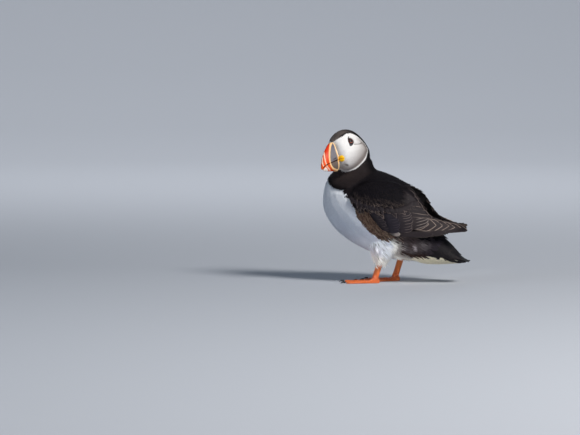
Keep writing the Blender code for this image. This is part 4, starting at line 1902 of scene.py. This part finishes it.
@dataclass(frozen=True)
class Tufts:
    """One kind of small feather, grown all over a zone and marched along the skin."""

    zone: Zone
    gap: float
    length: float
    width: float
    rows: int
    columns: int
    tip: float  # how high the tip stands over the skin
    finish: PlumageFinish
    seed: int
    root: float = -0.15
    arch: float = 0.25
    blunt: float = 0.5
    splay: float = 0.12
    soften: float = 0.6
    uneven: float = 0.06
    rim: Row = (92, 80, 74)
    edge: float = 0.6  # width of the faded rim, in millimetres
    point: float = 0.0  # how pointed the tip is
    least: float = 0.55  # how faded the least faded rims are
    # painted shade: the roots darker, where the feathers overlap them
    deep: float = 0.2  # how much darker the roots are
    overhang: float = 0.8  # how far a tip may hang over ground of the other colour
    stiff: float = 0.3  # a shaft leaves the skin where it turns more sharply than this
    rear_end: float = math.inf  # roots lie ahead of this x only
    tries: float = 7.0  # roots tried for each gap's square
    underside: float = -0.35  # a wing's inner face, where no root lies
    follow: float = 0.35  # how far the lie turns a shaft at each step

    def build(self, ground: Ground) -> None:
        """Grows the tufts and writes them as a piece.

        Args:
            ground: What they grow from.
        """
        rng = np.random.default_rng(self.seed)
        shafts, t = self.march(ground, *self.roots(ground.skin, rng), rng)
        stray = ground.skin.markings.strays(shafts.centre[:, -1], shafts.zones)
        shafts = shafts.kept(ground.bare.clear(shafts.centre) & (stray < self.overhang))
        sheaf = self.grids(ground, shafts, t, rng)
        name = f"coat_{self.zone.name.lower()}"
        ground.coat.write(name, [sheaf], ground.dresses[self.finish.name])

    def roots(self, skin: Skin, rng: np.random.Generator) -> tuple[Array, Array, Array]:
        """Evenly spaced roots in the zone.

        Args:
            skin: The skin.
            rng: The seeded source of chance.

        Returns:
            The roots, the normals there and their zones.
        """
        surface = skin.surface
        own = (skin.zones == self.zone) & (surface.corners[:, 0] < self.rear_end)
        inner = (skin.nodes >= 4) & (skin.nodes <= 5)
        outward = np.where(skin.nodes == 4, -1, 1)
        own &= ~(inner & (surface.normals[:, 1] * outward < self.underside))
        chosen = np.flatnonzero(own[surface.triangles].sum(1) >= 2)
        gap = self.gap * self.sizes(surface.corners[surface.triangles[chosen]].mean(1))
        weight = surface.areas[chosen] / gap**2
        count = int(self.tries * weight.sum())
        pick = rng.choice(len(chosen), count, p=weight / weight.sum())
        r, s = np.sqrt(rng.random(count)), rng.random(count)
        share = np.stack([1 - r, r * (1 - s), r * s], 1)
        corner = surface.triangles[chosen[pick]]
        places = (surface.corners[corner] * share[..., None]).sum(1)
        tree = KDTree(count)
        for number, place in enumerate(places.tolist()):
            tree.insert(place, number)
        tree.balance()
        free = bytearray(b"\x01") * count
        kept = []
        for number, (place, reach) in enumerate(zip(places.tolist(), gap[pick].tolist())):
            if free[number]:
                kept.append(number)
                for _, other, _ in tree.find_range(place, reach):
                    free[other] = 0
        normals = unit((surface.normals[corner[kept]] * share[kept][..., None]).sum(1))
        return places[kept], normals, skin.zones[corner[kept, 0]]

    def sizes(self, places: Array) -> Array:
        """How large the feathers are at each place, against this kind's own size."""
        if self.zone is Zone.MANTLE:
            away, _ = along_line(places[:, ::2], np.array(((-60, 121), (-26, 146))))
            return 0.42 + 0.58 * smooth_step(0, 34, away)
        if self.zone is Zone.SCAPULARS:
            return 0.6 + 0.4 * smooth_step(20, 6, over_scapulars(places))
        if self.zone is Zone.THIGHS:
            return 0.45 + 0.55 * smooth_step(24, 11, off_thighs(places))
        if self.zone is Zone.WING:
            return 1.0 - 0.75 * smooth_step(56, 80, places[:, 0])
        return np.ones(len(places))

    def march(
        self, ground: Ground, roots: Array, normals: Array, zones: Array, rng: np.random.Generator
    ) -> tuple[Shafts, Array]:
        """Walks each feather's shaft along the skin.

        Args:
            ground: What they grow from.
            roots: Where the feathers start.
            normals: The skin's normals there.
            zones: The zone of each.
            rng: The seeded source of chance.

        Returns:
            The shafts, and how far along each row lies.
        """
        t = 1.0 - (1.0 - np.linspace(0, 1, self.rows + 1)) ** 1.35
        size = self.sizes(roots)
        way = laid(ground.lie.at(roots), normals)
        side = np.cross(way, normals)
        way = unit(way + side * rng.normal(0, self.splay, len(roots))[:, None])
        length = self.length * size * rng.uniform(0.86, 1.12, len(roots))
        centre, facing, heading = [roots], [normals], [way]
        for advance in np.diff(t):
            step = (length * advance)[:, None]
            guess = centre[-1] + heading[-1] * step
            place, normal = ground.skin.surface.nearest(guess)
            wraps = np.linalg.norm(place - guess, axis=1, keepdims=True) > 0.55 * step
            wraps |= (normal * facing[-1]).sum(1, keepdims=True) < self.stiff
            centre.append(np.where(wraps, guess, place))
            normal = np.where(wraps, facing[-1], unit(normal + facing[-1]))
            turned = self.follow * laid(ground.lie.at(centre[-1]), normal)
            turned = unit((1.0 - self.follow) * heading[-1] + turned)
            facing.append(normal)
            heading.append(laid(turned, normal))
        return Shafts(*(np.stack(rows, 1) for rows in (centre, facing, heading)), size, zones), t

    def grids(self, ground: Ground, shafts: Shafts, t: Array, rng: np.random.Generator) -> Feathers:
        """Spreads each shaft into a feather.

        Args:
            ground: What they grow from.
            shafts: The shafts.
            t: How far along each row lies.
            rng: The seeded source of chance.

        Returns:
            The feathers.
        """
        markings = ground.skin.markings
        facing, size = shafts.facing[:, :, None], shafts.size
        count = len(size)
        a = np.linspace(-1, 1, self.columns)
        side = unit(np.cross(shafts.heading, shafts.facing))[:, :, None]
        half = self.width / 2 * size[:, None] * outline_of(t, self.blunt, self.point)[None]
        rise = self.root + (self.tip * size[:, None] ** 0.5 - self.root) * t[None] ** 0.9
        rise = rise * rng.uniform(0.82, 1.12, (count, 1))
        sunk = self.arch * half[..., None] * a[None, None] ** 2
        places = shafts.centre[:, :, None] + side * (half[..., None] * a)[..., None]
        places = places + facing * (rise[..., None] - sunk)[..., None]
        middle = shafts.centre[:, min(2, self.rows)]
        tone = markings.tones(middle, shafts.zones)
        tone = tone * (1.0 + rng.normal(0, self.uneven, (count, 1)))
        # painted shade at the roots, under the overlapping feathers
        shade = (1.0 - self.deep * smooth_step(0.55, 0, t))[None, :, None, None]
        tones = np.empty((count, len(t), len(a), 4))
        tones[..., :3] = tone[:, None, None] * shade
        tones[..., 3] = edge_of(t, a, half, self.length * size) / self.edge
        wear = markings.wear(middle, shafts.zones) * rng.uniform(self.least, 1.2, count)
        rims = rims_of(self.rim, wear)
        lay = lay_of(t, a, half, self.length * size, rng.uniform(0, 40, (count, 1, 1)))
        normals = (1.0 - self.soften) * grid_normals(places) + self.soften * facing
        homes = ground.coat.homes(shafts.centre[:, 0])
        return Feathers(places, tones, rims, lay, homes, unit(normals))


@dataclass
class BareParts:
    """Bill, gape, plates and eyes, which no feather may cover."""

    bird: Bird
    eyes: list[Eye]
    eye_clear: float = 1.8
    rosette_clear: float = 3.7
    clearance: float = 0.35  # from the other parts
    lowest: float = 134.0  # no root under this height comes near any of them
    nodes: tuple[str, ...] = (
        "bill_upper", "bill_lower", "gape_rosette_left", "gape_rosette_right",
        "brow_plate_left", "brow_plate_right", "under_plate_left", "under_plate_right",
    )

    def clear(self, shafts: Array) -> Array:
        """Which shafts stay off the bare parts.

        Args:
            shafts: The points of each shaft.

        Returns:
            True for each that does.
        """
        radius = self.bird.axes.eye_radius
        spots = [(eye.centre + eye.axis * radius, self.eye_clear) for eye in self.eyes]
        ahead, aside, above = GapeRosette.at
        for side in SIDES.values():
            spots.append((np.array((ahead, -aside * side, above)), self.rosette_clear))
        keep = np.ones(len(shafts), bool)
        for place, reach in spots:
            off = np.linalg.norm(shafts - self.bird.from_head(place), axis=2)
            keep &= off.min(1) > reach
        head = self.bird.to_head(shafts.reshape(-1, 3))
        on_patch = Markings.eye_patch.signed(head[:, ::2]) < 0.15
        on_patch &= (np.abs(head[:, 1]) > 10) & (head[:, 2] > -8)
        keep &= ~on_patch.reshape(shafts.shape[:2]).any(1)
        for number in np.flatnonzero(keep & (shafts[:, 0, 2] > self.lowest)):
            near = (self.tree.find_nearest(at, self.clearance)[0] for at in shafts[number].tolist())
            keep[number] = all(hit is None for hit in near)
        return keep

    @cached_property
    def tree(self) -> BVHTree:
        """The search tree of the CAD nodes that stay bare."""
        return search_tree(self.bird, self.nodes)[0]


# ---- wings


@dataclass
class WingShell:
    """The outer face of one folded wing, as how far out it lies over a grid of x and z."""

    bird: Bird
    side: str
    step: float = 1.5
    low: tuple[float, float] = (-64, 48)
    cells: tuple[int, int] = (116, 64)
    shift: tuple[float, float] = (3, 1.8)  # of the right wing's middle
    tip_shift: tuple[float, float] = (-7, -7.5)
    margin: int = 2  # cells along the wing's edges that are left to the fill
    outside: float = 90.0  # how far out the search for the wing starts
    fill_rounds: int = 400
    smooth_rounds: int = 5
    reach: Array = field(init=False)

    def __post_init__(self) -> None:
        """Measures the wing's outer face."""
        part = merged_copy(self.bird, f"wing_{self.side}", 0)
        tree = BVHTree.FromBMesh(part)
        part.free()
        side = SIDES[self.side]
        found = np.full(self.cells, np.nan)
        for i, j in np.ndindex(self.cells):
            x, z = self.low[0] + i * self.step, self.low[1] + j * self.step
            hit = tree.ray_cast((x, side * self.outside, z), (0, -side, 0))[0]
            if hit is not None:
                found[i, j] = hit.y * side
        known = ~np.isnan(found)
        for _ in range(self.margin):
            known = known & np.logical_and.reduce(self.around(known, "constant"))
        filled = np.where(known, found, found[known].mean())
        for _ in range(self.fill_rounds):
            filled = np.where(known, found, sum(self.around(filled, "edge")) / 4)
        for _ in range(self.smooth_rounds):
            filled = 0.5 * filled + 0.5 * sum(self.around(filled, "edge")) / 4
        self.reach = filled

    @staticmethod
    def around(grid: Array, mode: str) -> tuple[Array, ...]:
        """The four neighbours of each cell, with the border filled in by mode."""
        near = np.pad(grid, 1, mode=mode)
        return near[:-2, 1:-1], near[2:, 1:-1], near[1:-1, :-2], near[1:-1, 2:]

    def out(self, flat: Array) -> Array:
        """How far out the wing lies at places in its side view.

        Args:
            flat: Places, x and z.

        Returns:
            The distances from the bird's middle.
        """
        u = np.clip((flat[..., 0] - self.low[0]) / self.step, 0, self.cells[0] - 1.01)
        v = np.clip((flat[..., 1] - self.low[1]) / self.step, 0, self.cells[1] - 1.01)
        i, j = u.astype(int), v.astype(int)
        s, t = u - i, v - j
        low = self.reach[i, j] * (1 - s) + self.reach[i + 1, j] * s
        high = self.reach[i, j + 1] * (1 - s) + self.reach[i + 1, j + 1] * s
        return low * (1 - t) + high * t

    def moved(self, flat: Array) -> Array:
        """Places of the left wing's plan as they lie on this wing.

        Args:
            flat: Places, x and z.

        Returns:
            The places moved.
        """
        if self.side == "left":
            return flat
        along = np.clip((flat[..., 0] + 50) / 142, 0, 1)
        middle = smooth_step(0.3, 0.55, along)[..., None]
        tip = (np.maximum(2 * along - 1, 0) ** 2)[..., None]
        return flat + np.array(self.shift) * middle + np.array(self.tip_shift) * tip

    def place(self, flat: Array, lift: Array) -> Array:
        """Places over the wing's outer face.

        Args:
            flat: Places in the left wing's side view, x and z.
            lift: How far over the face each stands.

        Returns:
            The places in the bird's axes.
        """
        flat = self.moved(flat)
        here = self.out(flat)
        ahead = self.out(flat + (self.step, 0)) - here
        above = self.out(flat + (0, self.step)) - here
        normal = [-ahead / self.step, np.ones_like(here), -above / self.step]
        place = np.stack([flat[..., 0], here, flat[..., 1]], -1)
        place = place + unit(np.stack(normal, -1)) * lift[..., None]
        return place * np.array((1, SIDES[self.side], 1))


@dataclass(frozen=True)
class VaneRow:
    """One row of long feathers on a folded wing, drawn in its side view.

    Each station holds the root, the bend and the tip (x, z), the width and the lift at the tip.
    """

    stations: Rows
    count: int
    rows: int
    columns: int
    tone: Row
    wear: float
    rim: Row = (160, 148, 138)
    tone_share: float = 0.6
    least: float = 0.8  # how faded the least faded rims are
    tilt: float = -0.35  # how far the upper edge stands over the lower
    camber: float = 0.3
    sunk: float = -0.9  # lift at the root
    taper: float = 7.0  # length of the tip, in millimetres
    point: float = 0.0
    edge: float = 0.6
    fade: float = 3.0  # how much farther in the pale rim lies toward the root
    uneven: float = 0.05
    stray: float = 0.5
    root_shade: float = 0.38  # how much darker the roots are
    right_top: float = 104.0  # the right wing's tips lie under this height

    def grow(self, shell: WingShell, ground: Ground, rng: np.random.Generator) -> Feathers:
        """Lays the row's feathers on a wing.

        Args:
            shell: The wing's outer face.
            ground: The skin and the coat.
            rng: The seeded source of chance.

        Returns:
            The feathers.
        """
        table = np.array(self.stations)
        if len(table) > 1:
            table = smooth_rows(self.stations, self.count)
        if shell.side == "right":
            table = table[table[:, 5] < self.right_top]
        count = len(table)
        t = 1.0 - (1.0 - np.linspace(0, 1, self.rows)) ** 1.9
        a = np.linspace(-1, 1, self.columns)
        table[:, 4:6] += rng.normal(0, self.stray, (count, 2))
        table[:, 2:4] += rng.normal(0, 0.4 * self.stray, (count, 2))
        root, bend, tip = (table[:, None, k : k + 2] for k in (0, 2, 4))
        wide, high = table[:, None, 6], table[:, None, 7]
        s = t[None, :, None]
        centre = (1 - s) ** 2 * root + 2 * s * (1 - s) * bend + s**2 * tip
        way = unit(np.gradient(centre, axis=1))
        side = np.stack([-way[..., 1], way[..., 0]], -1)
        length = np.linalg.norm(table[:, 4:6] - table[:, 0:2], axis=1)
        shape = outline_of(t[None], self.taper / length[:, None], self.point)
        half = wide / 2 * shape
        flat = centre[:, :, None] + side[:, :, None] * (half[..., None] * a)[..., None]
        rise = smooth_step(0, 0.45, t)[None] * (high - self.sunk) + self.sunk
        edge = self.tilt * a * shape[..., None]
        places = shell.place(flat, rise[..., None] + edge - self.camber * a**2)
        tone = ground.skin.markings.wing_tones(places[:, self.rows // 2, self.columns // 2])
        tone = painted(tone, (self.tone, np.full(count, self.tone_share)))
        tone = tone * (1.0 + rng.normal(0, self.uneven, (count, 1)))
        shade = 1.0 - self.root_shade * (1.0 - smooth_step(0.05, 0.55, t))
        bare = self.fade * (1.0 - smooth_step(0.3, 0.75, t))[None, :, None]
        tones = np.empty((count, self.rows, self.columns, 4))
        tones[..., :3] = tone[:, None, None] * shade[None, :, None, None]
        tones[..., 3] = (edge_of(t, a, half, length) + bare) / self.edge
        rims = rims_of(self.rim, self.wear * rng.uniform(self.least, 1.15, (count, 1))[:, 0])
        lay = lay_of(t, a, half, length, rng.uniform(0, 60, (count, 1, 1)))
        if shell.side == "right":
            places, tones, lay = (grid[:, :, ::-1] for grid in (places, tones, lay))
        homes = ground.coat.homes(places[:, 1, self.columns // 2])
        return Feathers(places, tones, rims, lay, homes, grid_normals(places))


VANES = (
    VaneRow(  # primaries
        (
            (39.5, 77.4, 66.5, 73.9, 91.5, 71.4, 7.5, 0.1),
            (32.5, 77.6, 59.5, 74.1, 84.5, 71.6, 9.5, 0.35),
            (25, 78.2, 52, 74.7, 77, 72.2, 11.5, 0.6),
            (17.5, 79.2, 44.5, 75.7, 69.5, 73.2, 13.5, 0.85),
            (9.5, 79.8, 36.5, 76.3, 61.5, 73.8, 14.5, 1.1),
            (1.5, 80.2, 28.5, 76.7, 53.5, 74.2, 15, 1.35),
            (-7.5, 81.8, 19.5, 78.3, 44.5, 75.8, 15, 1.6),
        ),
        7, rows=24, columns=7, tone=(58, 51, 52), wear=0.85, rim=(176, 157, 146), taper=10.5,
        point=0.85, edge=0.7, stray=0.2, tilt=0.1,
    ),
    VaneRow(  # the outermost primaries, along the lower edge
        (
            (14, 67.5, 58, 66, 92, 70.2, 6, 0.3),
            (-6, 66.5, 32, 62, 66, 66.2, 7, 1.75),
            (-10, 69, 20, 62.5, 50, 64, 7.5, 1.9),
        ),
        3, rows=20, columns=5, tone=(46, 40, 43), wear=0.1, taper=12.0, tilt=0.1, stray=0.0,
    ),
    VaneRow(  # secondaries
        (
            (-4, 72, 24, 71.5, 43.5, 79, 8.4, 2.2),
            (-3, 75.8, 24, 75.5, 43.8, 82.6, 8.4, 2.45),
            (-2, 79.6, 24, 79.5, 44, 86, 8.4, 2.7),
            (-1, 84, 24, 84, 44, 89, 8.4, 2.95),
        ),
        4, rows=18, columns=7, tone=(46, 40, 42), wear=0.7, rim=(158, 145, 139), taper=6.0,
        edge=0.8, stray=0.3,
    ),
    VaneRow(  # tertials
        (
            (2, 90, 24, 91, 47, 84.5, 8.6, 3),
            (4, 96, 22, 96.5, 43, 89, 8.8, 3.2),
            (5, 102, 21, 101.5, 39.5, 94, 8.8, 3.1),
            (5, 108, 20, 106.5, 36, 99, 8.8, 2.9),
            (6, 114.5, 19, 112, 32.5, 104.5, 8.6, 2.7),
            (8, 121, 18.5, 118, 29, 111, 8.4, 2.5),
        ),
        6, rows=16, columns=7, tone=(38, 33, 36), wear=0.6, rim=(142, 127, 120), taper=7.0,
        edge=0.8, point=0.3, stray=0.7, fade=0.9,
    ),
    VaneRow(  # greater coverts
        (
            (0, 70.5, 12, 69.5, 24, 70.5, 6.5, 2.7),
            (-2, 77, 11, 76.5, 24.5, 77, 7, 2.9),
            (-4, 84, 10, 83.5, 24, 83.5, 7.2, 3.1),
            (-5, 91, 8, 90.5, 21, 90, 7.4, 3.3),
        ),
        7, rows=14, columns=7, tone=(42, 37, 42), wear=0.6, rim=(132, 118, 113), edge=0.55,
        fade=1.6,
    ),
    VaneRow(  # median coverts
        (
            (-12, 71.5, -2, 69, 9, 69.5, 6, 2.9),
            (-14, 79, -3, 77.5, 9, 77, 6.6, 3.1),
            (-17, 88, -6, 87, 6, 85.5, 7, 3.3),
        ),
        6, rows=12, columns=7, tone=(36, 33, 42), wear=0.35, rim=(104, 98, 106), edge=0.4,
    ),
    VaneRow(  # lesser coverts
        (
            (-17, 74.5, -10, 71.5, -3, 70, 5, 2.6),
            (-24, 83, -16, 79.5, -7, 77, 5.2, 2.8),
            (-31, 91.5, -23, 88, -13, 84.5, 5.2, 3),
        ),
        6, rows=10, columns=5, tone=(38, 33, 38), wear=0.35, rim=(110, 98, 96), edge=0.45,
    ),
    VaneRow(  # the pale feather at the wing's bend
        ((-3.5, 65.2, 3.5, 64.8, 9.5, 64.8, 5, 3),),
        1, rows=12, columns=7, tone=(112, 104, 102), wear=0.8, rim=(176, 168, 162), tone_share=1.0,
        stray=0.0, taper=3.5,
    ),
    VaneRow(  # the longest scapulars, over the wing
        (
            (-54, 112, -51, 108, -48.5, 103, 3.4, 1.8),
            (-43, 106.5, -39, 102, -35.5, 97, 3.8, 2.4),
            (-29, 102.5, -25, 98, -21, 92.5, 4.4, 3),
            (-13, 99.5, -9, 95, -4, 89.5, 4.8, 3.6),
            (0, 98, 5, 94, 10.5, 89, 5.2, 3.8),
            (11, 101, 16, 97, 21.5, 92, 5.6, 3.9),
            (19, 107, 25, 103, 31, 98, 6, 3.9),
        ),
        24, rows=12, columns=5, tone=(42, 36, 39), wear=0.75, rim=(140, 124, 118), taper=6.0,
        point=0.7, edge=0.7, stray=2.0, least=0.0,
    ),
)


@dataclass
class Wings:
    """The quills and coverts of both folded wings."""

    finish: PlumageFinish
    rows: tuple[VaneRow, ...] = VANES
    seed: int = 40

    def build(self, ground: Ground) -> None:
        """Makes both wings' feathers.

        Args:
            ground: The skin and the coat.
        """
        dress = ground.dresses[self.finish.name]
        for number, side in enumerate(SIDES):
            shell = WingShell(ground.coat.bird, side)
            rng = np.random.default_rng(self.seed + number)
            sheaves = [row.grow(shell, ground, rng) for row in self.rows]
            ground.coat.write(f"quills_{side}", sheaves, dress)


# ---- studio


@dataclass(frozen=True)
class Lamp:
    """A soft square lamp."""

    name: str
    place: Row
    target: Row
    size: float
    power: float
    colour: Row = (1, 1, 1)
    spread: float = 180.0

    def build(self) -> None:
        """Makes the lamp and turns it to its target."""
        data = bpy.data.lights.new(self.name, "AREA")
        data.size, data.energy, data.color = self.size, self.power, self.colour
        data.spread = math.radians(self.spread)
        lamp = bpy.data.objects.new(self.name, data)
        lamp.location = self.place
        way = Vector(self.target) - Vector(self.place)
        lamp.rotation_euler = way.to_track_quat("-Z", "Y").to_euler()
        bpy.context.scene.collection.objects.link(lamp)


@dataclass
class Studio:
    """A pale bowl of a floor, soft lamps and the camera."""

    bird: Bird
    azimuth: float = 8.0
    elevation: float = 4.0
    distance: float = 4.0
    width: float = 0.7366  # of the view at the bird
    aside: float = -0.1346  # of the view's middle, along its own right
    above: float = 0.0819
    sensor: float = 36.0
    bowl: float = 8.0
    cove: float = 5.0
    wall: float = 6.0
    floor_tint: Row = (186, 190, 198)
    sky: Row = (0.66, 0.82, 1, 1)
    sky_strength: float = 0.16
    lamps: tuple[Lamp, ...] = (
        Lamp("key", (1.6, -1.5, 2), (0, 0, 0.1), 0.8, 84, (1, 0.975, 0.94)),
        Lamp("fill", (-1.9, -1.3, 1), (0, 0, 0.1), 1.6, 6, (0.62, 0.8, 1)),
        Lamp("back", (-0.3, 1.9, 1.7), (0, 0, 0.1), 1.4, 4, (0.94, 0.97, 1)),
        Lamp("wash", (-0.5, 2.3, 3.2), (-0.5, 5.3, 1.2), 4, 110),
        Lamp("low", (-0.35, -0.85, 0.13), (0.002, -0.02, 0.033), 0.05, 0.0085, (1, 0.97, 0.93), 7),
    )

    def build(self) -> None:
        """Makes the floor, the lamps and the camera."""
        self.build_floor()
        for lamp in self.lamps:
            lamp.build()
        world = bpy.data.worlds.new("studio")
        world.use_nodes = True
        sky = world.node_tree.nodes["Background"].inputs
        sky["Color"].default_value, sky["Strength"].default_value = self.sky, self.sky_strength
        bpy.context.scene.world = world
        bpy.context.scene.view_settings.view_transform = "Standard"
        self.build_camera()

    def build_floor(self) -> None:
        """A round floor that curves up into a wall."""
        profile = [(0, 0)]
        for turn in np.linspace(0, math.pi / 2, 13):
            out = self.bowl - self.cove + self.cove * math.sin(turn)
            profile.append((out, self.cove * (1 - math.cos(turn))))
        mesh = mesh_of("floor", spun([*profile, (self.bowl, self.wall)], 96, 1e-5))
        mesh.shade_smooth()
        floor = bpy.data.objects.new("floor", mesh)
        bpy.context.scene.collection.objects.link(floor)
        material, _, shader = new_material("floor")
        shader.inputs["Base Color"].default_value = (*tint(*self.floor_tint), 1)
        shader.inputs["Roughness"].default_value = 0.9
        mesh.materials.append(material)

    def build_camera(self) -> None:
        """The camera, a long lens a little over the bird's own height."""
        a, e = math.radians(self.azimuth), math.radians(self.elevation)
        right = Vector((math.cos(a), math.sin(a), 0))
        back = Vector((math.sin(a) * math.cos(e), -math.cos(a) * math.cos(e), math.sin(e)))
        up = back.cross(right)
        aim = Vector(self.bird.shift) * MM + right * self.aside + up * self.above
        data = bpy.data.cameras.new("camera")
        data.sensor_width = self.sensor
        data.lens = self.sensor * self.distance / self.width
        camera = bpy.data.objects.new("camera", data)
        bpy.context.scene.collection.objects.link(camera)
        turn = Matrix((right, up, back)).transposed().to_4x4()
        camera.matrix_world = Matrix.Translation(aim + back * self.distance) @ turn
        bpy.context.scene.camera = camera


PALE = PlumageFinish(
    "pale_down", "plumage_pale", 0.85, 0.2, 0.00002, 0.05, 0.06, 0.42, slant=0.5, shaft=0.1
)
DARK = PlumageFinish(
    "dark_plumage", "plumage_dark", 0.7, 0.08, 0.00003, 0.3, 0.01, 0.5, slant=0.6, shaft=0.16
)
QUILL = PlumageFinish(
    "quills", "plumage_dark", 0.6, 0.12, 0.00004, 0.25, 0.01, 0.55, slant=0.7, shaft=0.28, fray=0.5
)

KINDS = (
    Tufts(
        Zone.FACE, 0.5, 1.9, 0.62, 2, 3, 0.75, PALE, 11, soften=0.85, uneven=0.03, deep=0.08,
        overhang=0.5,
    ),
    Tufts(Zone.CROWN, 0.62, 2.8, 0.8, 3, 3, 1, DARK, 12, soften=0.55),
    Tufts(Zone.NECK, 0.78, 4, 1.05, 3, 3, 1.8, DARK, 13, soften=0.5, overhang=1.5),
    Tufts(Zone.BREAST, 0.9, 6, 1.7, 3, 3, 1.5, PALE, 14, soften=0.9, uneven=0.025, deep=0.06),
    Tufts(
        Zone.THIGHS, 1.35, 14.5, 1.8, 6, 3, 4.4, PALE, 15, soften=0.05, splay=0.28, uneven=0.15,
        deep=0.7, point=0.9, blunt=0.7, arch=0.5,
    ),
    Tufts(
        Zone.VENT, 1, 8, 1.5, 4, 3, 1.7, PALE, 22, soften=0.7, splay=0.2, uneven=0.05, deep=0.1,
    ),
    Tufts(Zone.MANTLE, 2.4, 9, 5, 5, 5, 2.5, DARK, 16, soften=0.4, edge=0.4),
    Tufts(
        Zone.SCAPULARS, 2, 12, 3.8, 7, 5, 3.8, DARK, 23, soften=0.2, splay=0.22, uneven=0.16,
        rim=(132, 116, 109), edge=0.7, point=0.45, least=0.0,
    ),
    Tufts(Zone.RUMP, 2.2, 9, 4.6, 5, 5, 2.5, DARK, 17, soften=0.4, edge=0.4),
    Tufts(
        Zone.FLANK, 1.2, 9, 1.7, 5, 3, 2.4, DARK, 18, soften=0.35, splay=0.3, uneven=0.26,
        edge=0.4, point=0.8, blunt=0.7,
    ),
    Tufts(Zone.WING, 1.6, 6, 2.8, 5, 3, 0.9, DARK, 19, soften=0.3, edge=0.4, splay=0.06),
    Tufts(
        Zone.LEAD, 1.3, 7, 1.7, 5, 3, 1.7, DARK, 21, soften=0.25, splay=0.25, uneven=0.38,
        rim=(164, 138, 118), edge=0.35, point=0.6, least=0.0,
    ),
    Tufts(
        Zone.TAIL, 3.2, 19, 6.5, 10, 5, 1.3, QUILL, 33, soften=0.3, splay=0.03, stiff=0.97,
        rear_end=70.0,
    ),
)


PLATES = (
    (
        "brow_plate",
        ((-0.3, 6.5), (2.4, 5.2), (5.2, 2.6), (5.4, 1.2), (3.2, 1.6), (0.9, 1.6), (0.6, 4.3)),
    ),
    (
        "under_plate",
        ((7.3, -2), (8.1, -4.6), (6.8, -6.2), (3.6, -5.6), (-0.9, -4.3), (0.8, -2.4), (4, -1.8)),
    ),
)
LEGS = (("left", (-25.5, 18.5, 4), -4), ("right", (-3.5, 18.5, 4), -8))

HIDES = (
    HideFinish("skin", "plumage_dark", 0.8, 0.5, 0.00005, 0.10, 0, 400),
    HideFinish("eyeball", "eye", 0.08, 0.5, 0, 0.03, 1, 600),
    HideFinish("eyelid", "gape_skin", 0.42, 0.5, 0.00006, 0.12, 0.1, 900),
    HideFinish("horn", "bill_horn", 0.46, 0.24, 0.00003, 0.10, 0.02, 500, lines=0.8),
    HideFinish("gape", "gape_skin", 0.46, 0.25, 0.00006, 0.08, 0.04, 700),
    HideFinish("plate", "plate_horn", 0.5, 0.5, 0.00004, 0.2, 0.05, 600, flat=(48, 50, 60)),
    HideFinish("leg", "leg_skin", 0.42, 0.5, 0.00012, 0.16, 0.1, 500, scutes=1.1),
    HideFinish("claw", "claw_horn", 0.3, 0.5, 0.00003, 0.2, 0.2, 600, flat=(38, 31, 30)),
)


def main() -> None:
    """Builds the bird and the studio round it."""
    logging.basicConfig(level=logging.INFO, format="%(message)s")
    groups = SharedGroups()
    bird = Bird(HeadAxes())
    Studio(bird).build()
    dresses = {finish.name: finish.build(groups) for finish in (PALE, DARK, QUILL, *HIDES)}
    markings = Markings(bird)
    skin = Skin(bird, markings)
    skin.build(dresses["skin"])
    eyes = [Eye(bird, side) for side in SIDES.values()]
    for eye in eyes:
        eye.build(dresses["eyeball"], dresses["eyelid"])
    Bill(bird).build(dresses["horn"])
    for side in SIDES.values():
        GapeRosette(bird, side).build(dresses["gape"])
        for node, outline in PLATES:
            EyePlate(bird, side, node, outline).build(skin.surface, dresses["plate"])
    for side, ankle, heading in LEGS:
        Leg(bird, side, ankle, heading).build(dresses["leg"], dresses["claw"])
    ground = Ground(skin, Lie(bird), Coat(bird), BareParts(bird, eyes), dresses)
    for kind in KINDS:
        kind.build(ground)
    Wings(QUILL).build(ground)


if __name__ == "__main__":
    main()
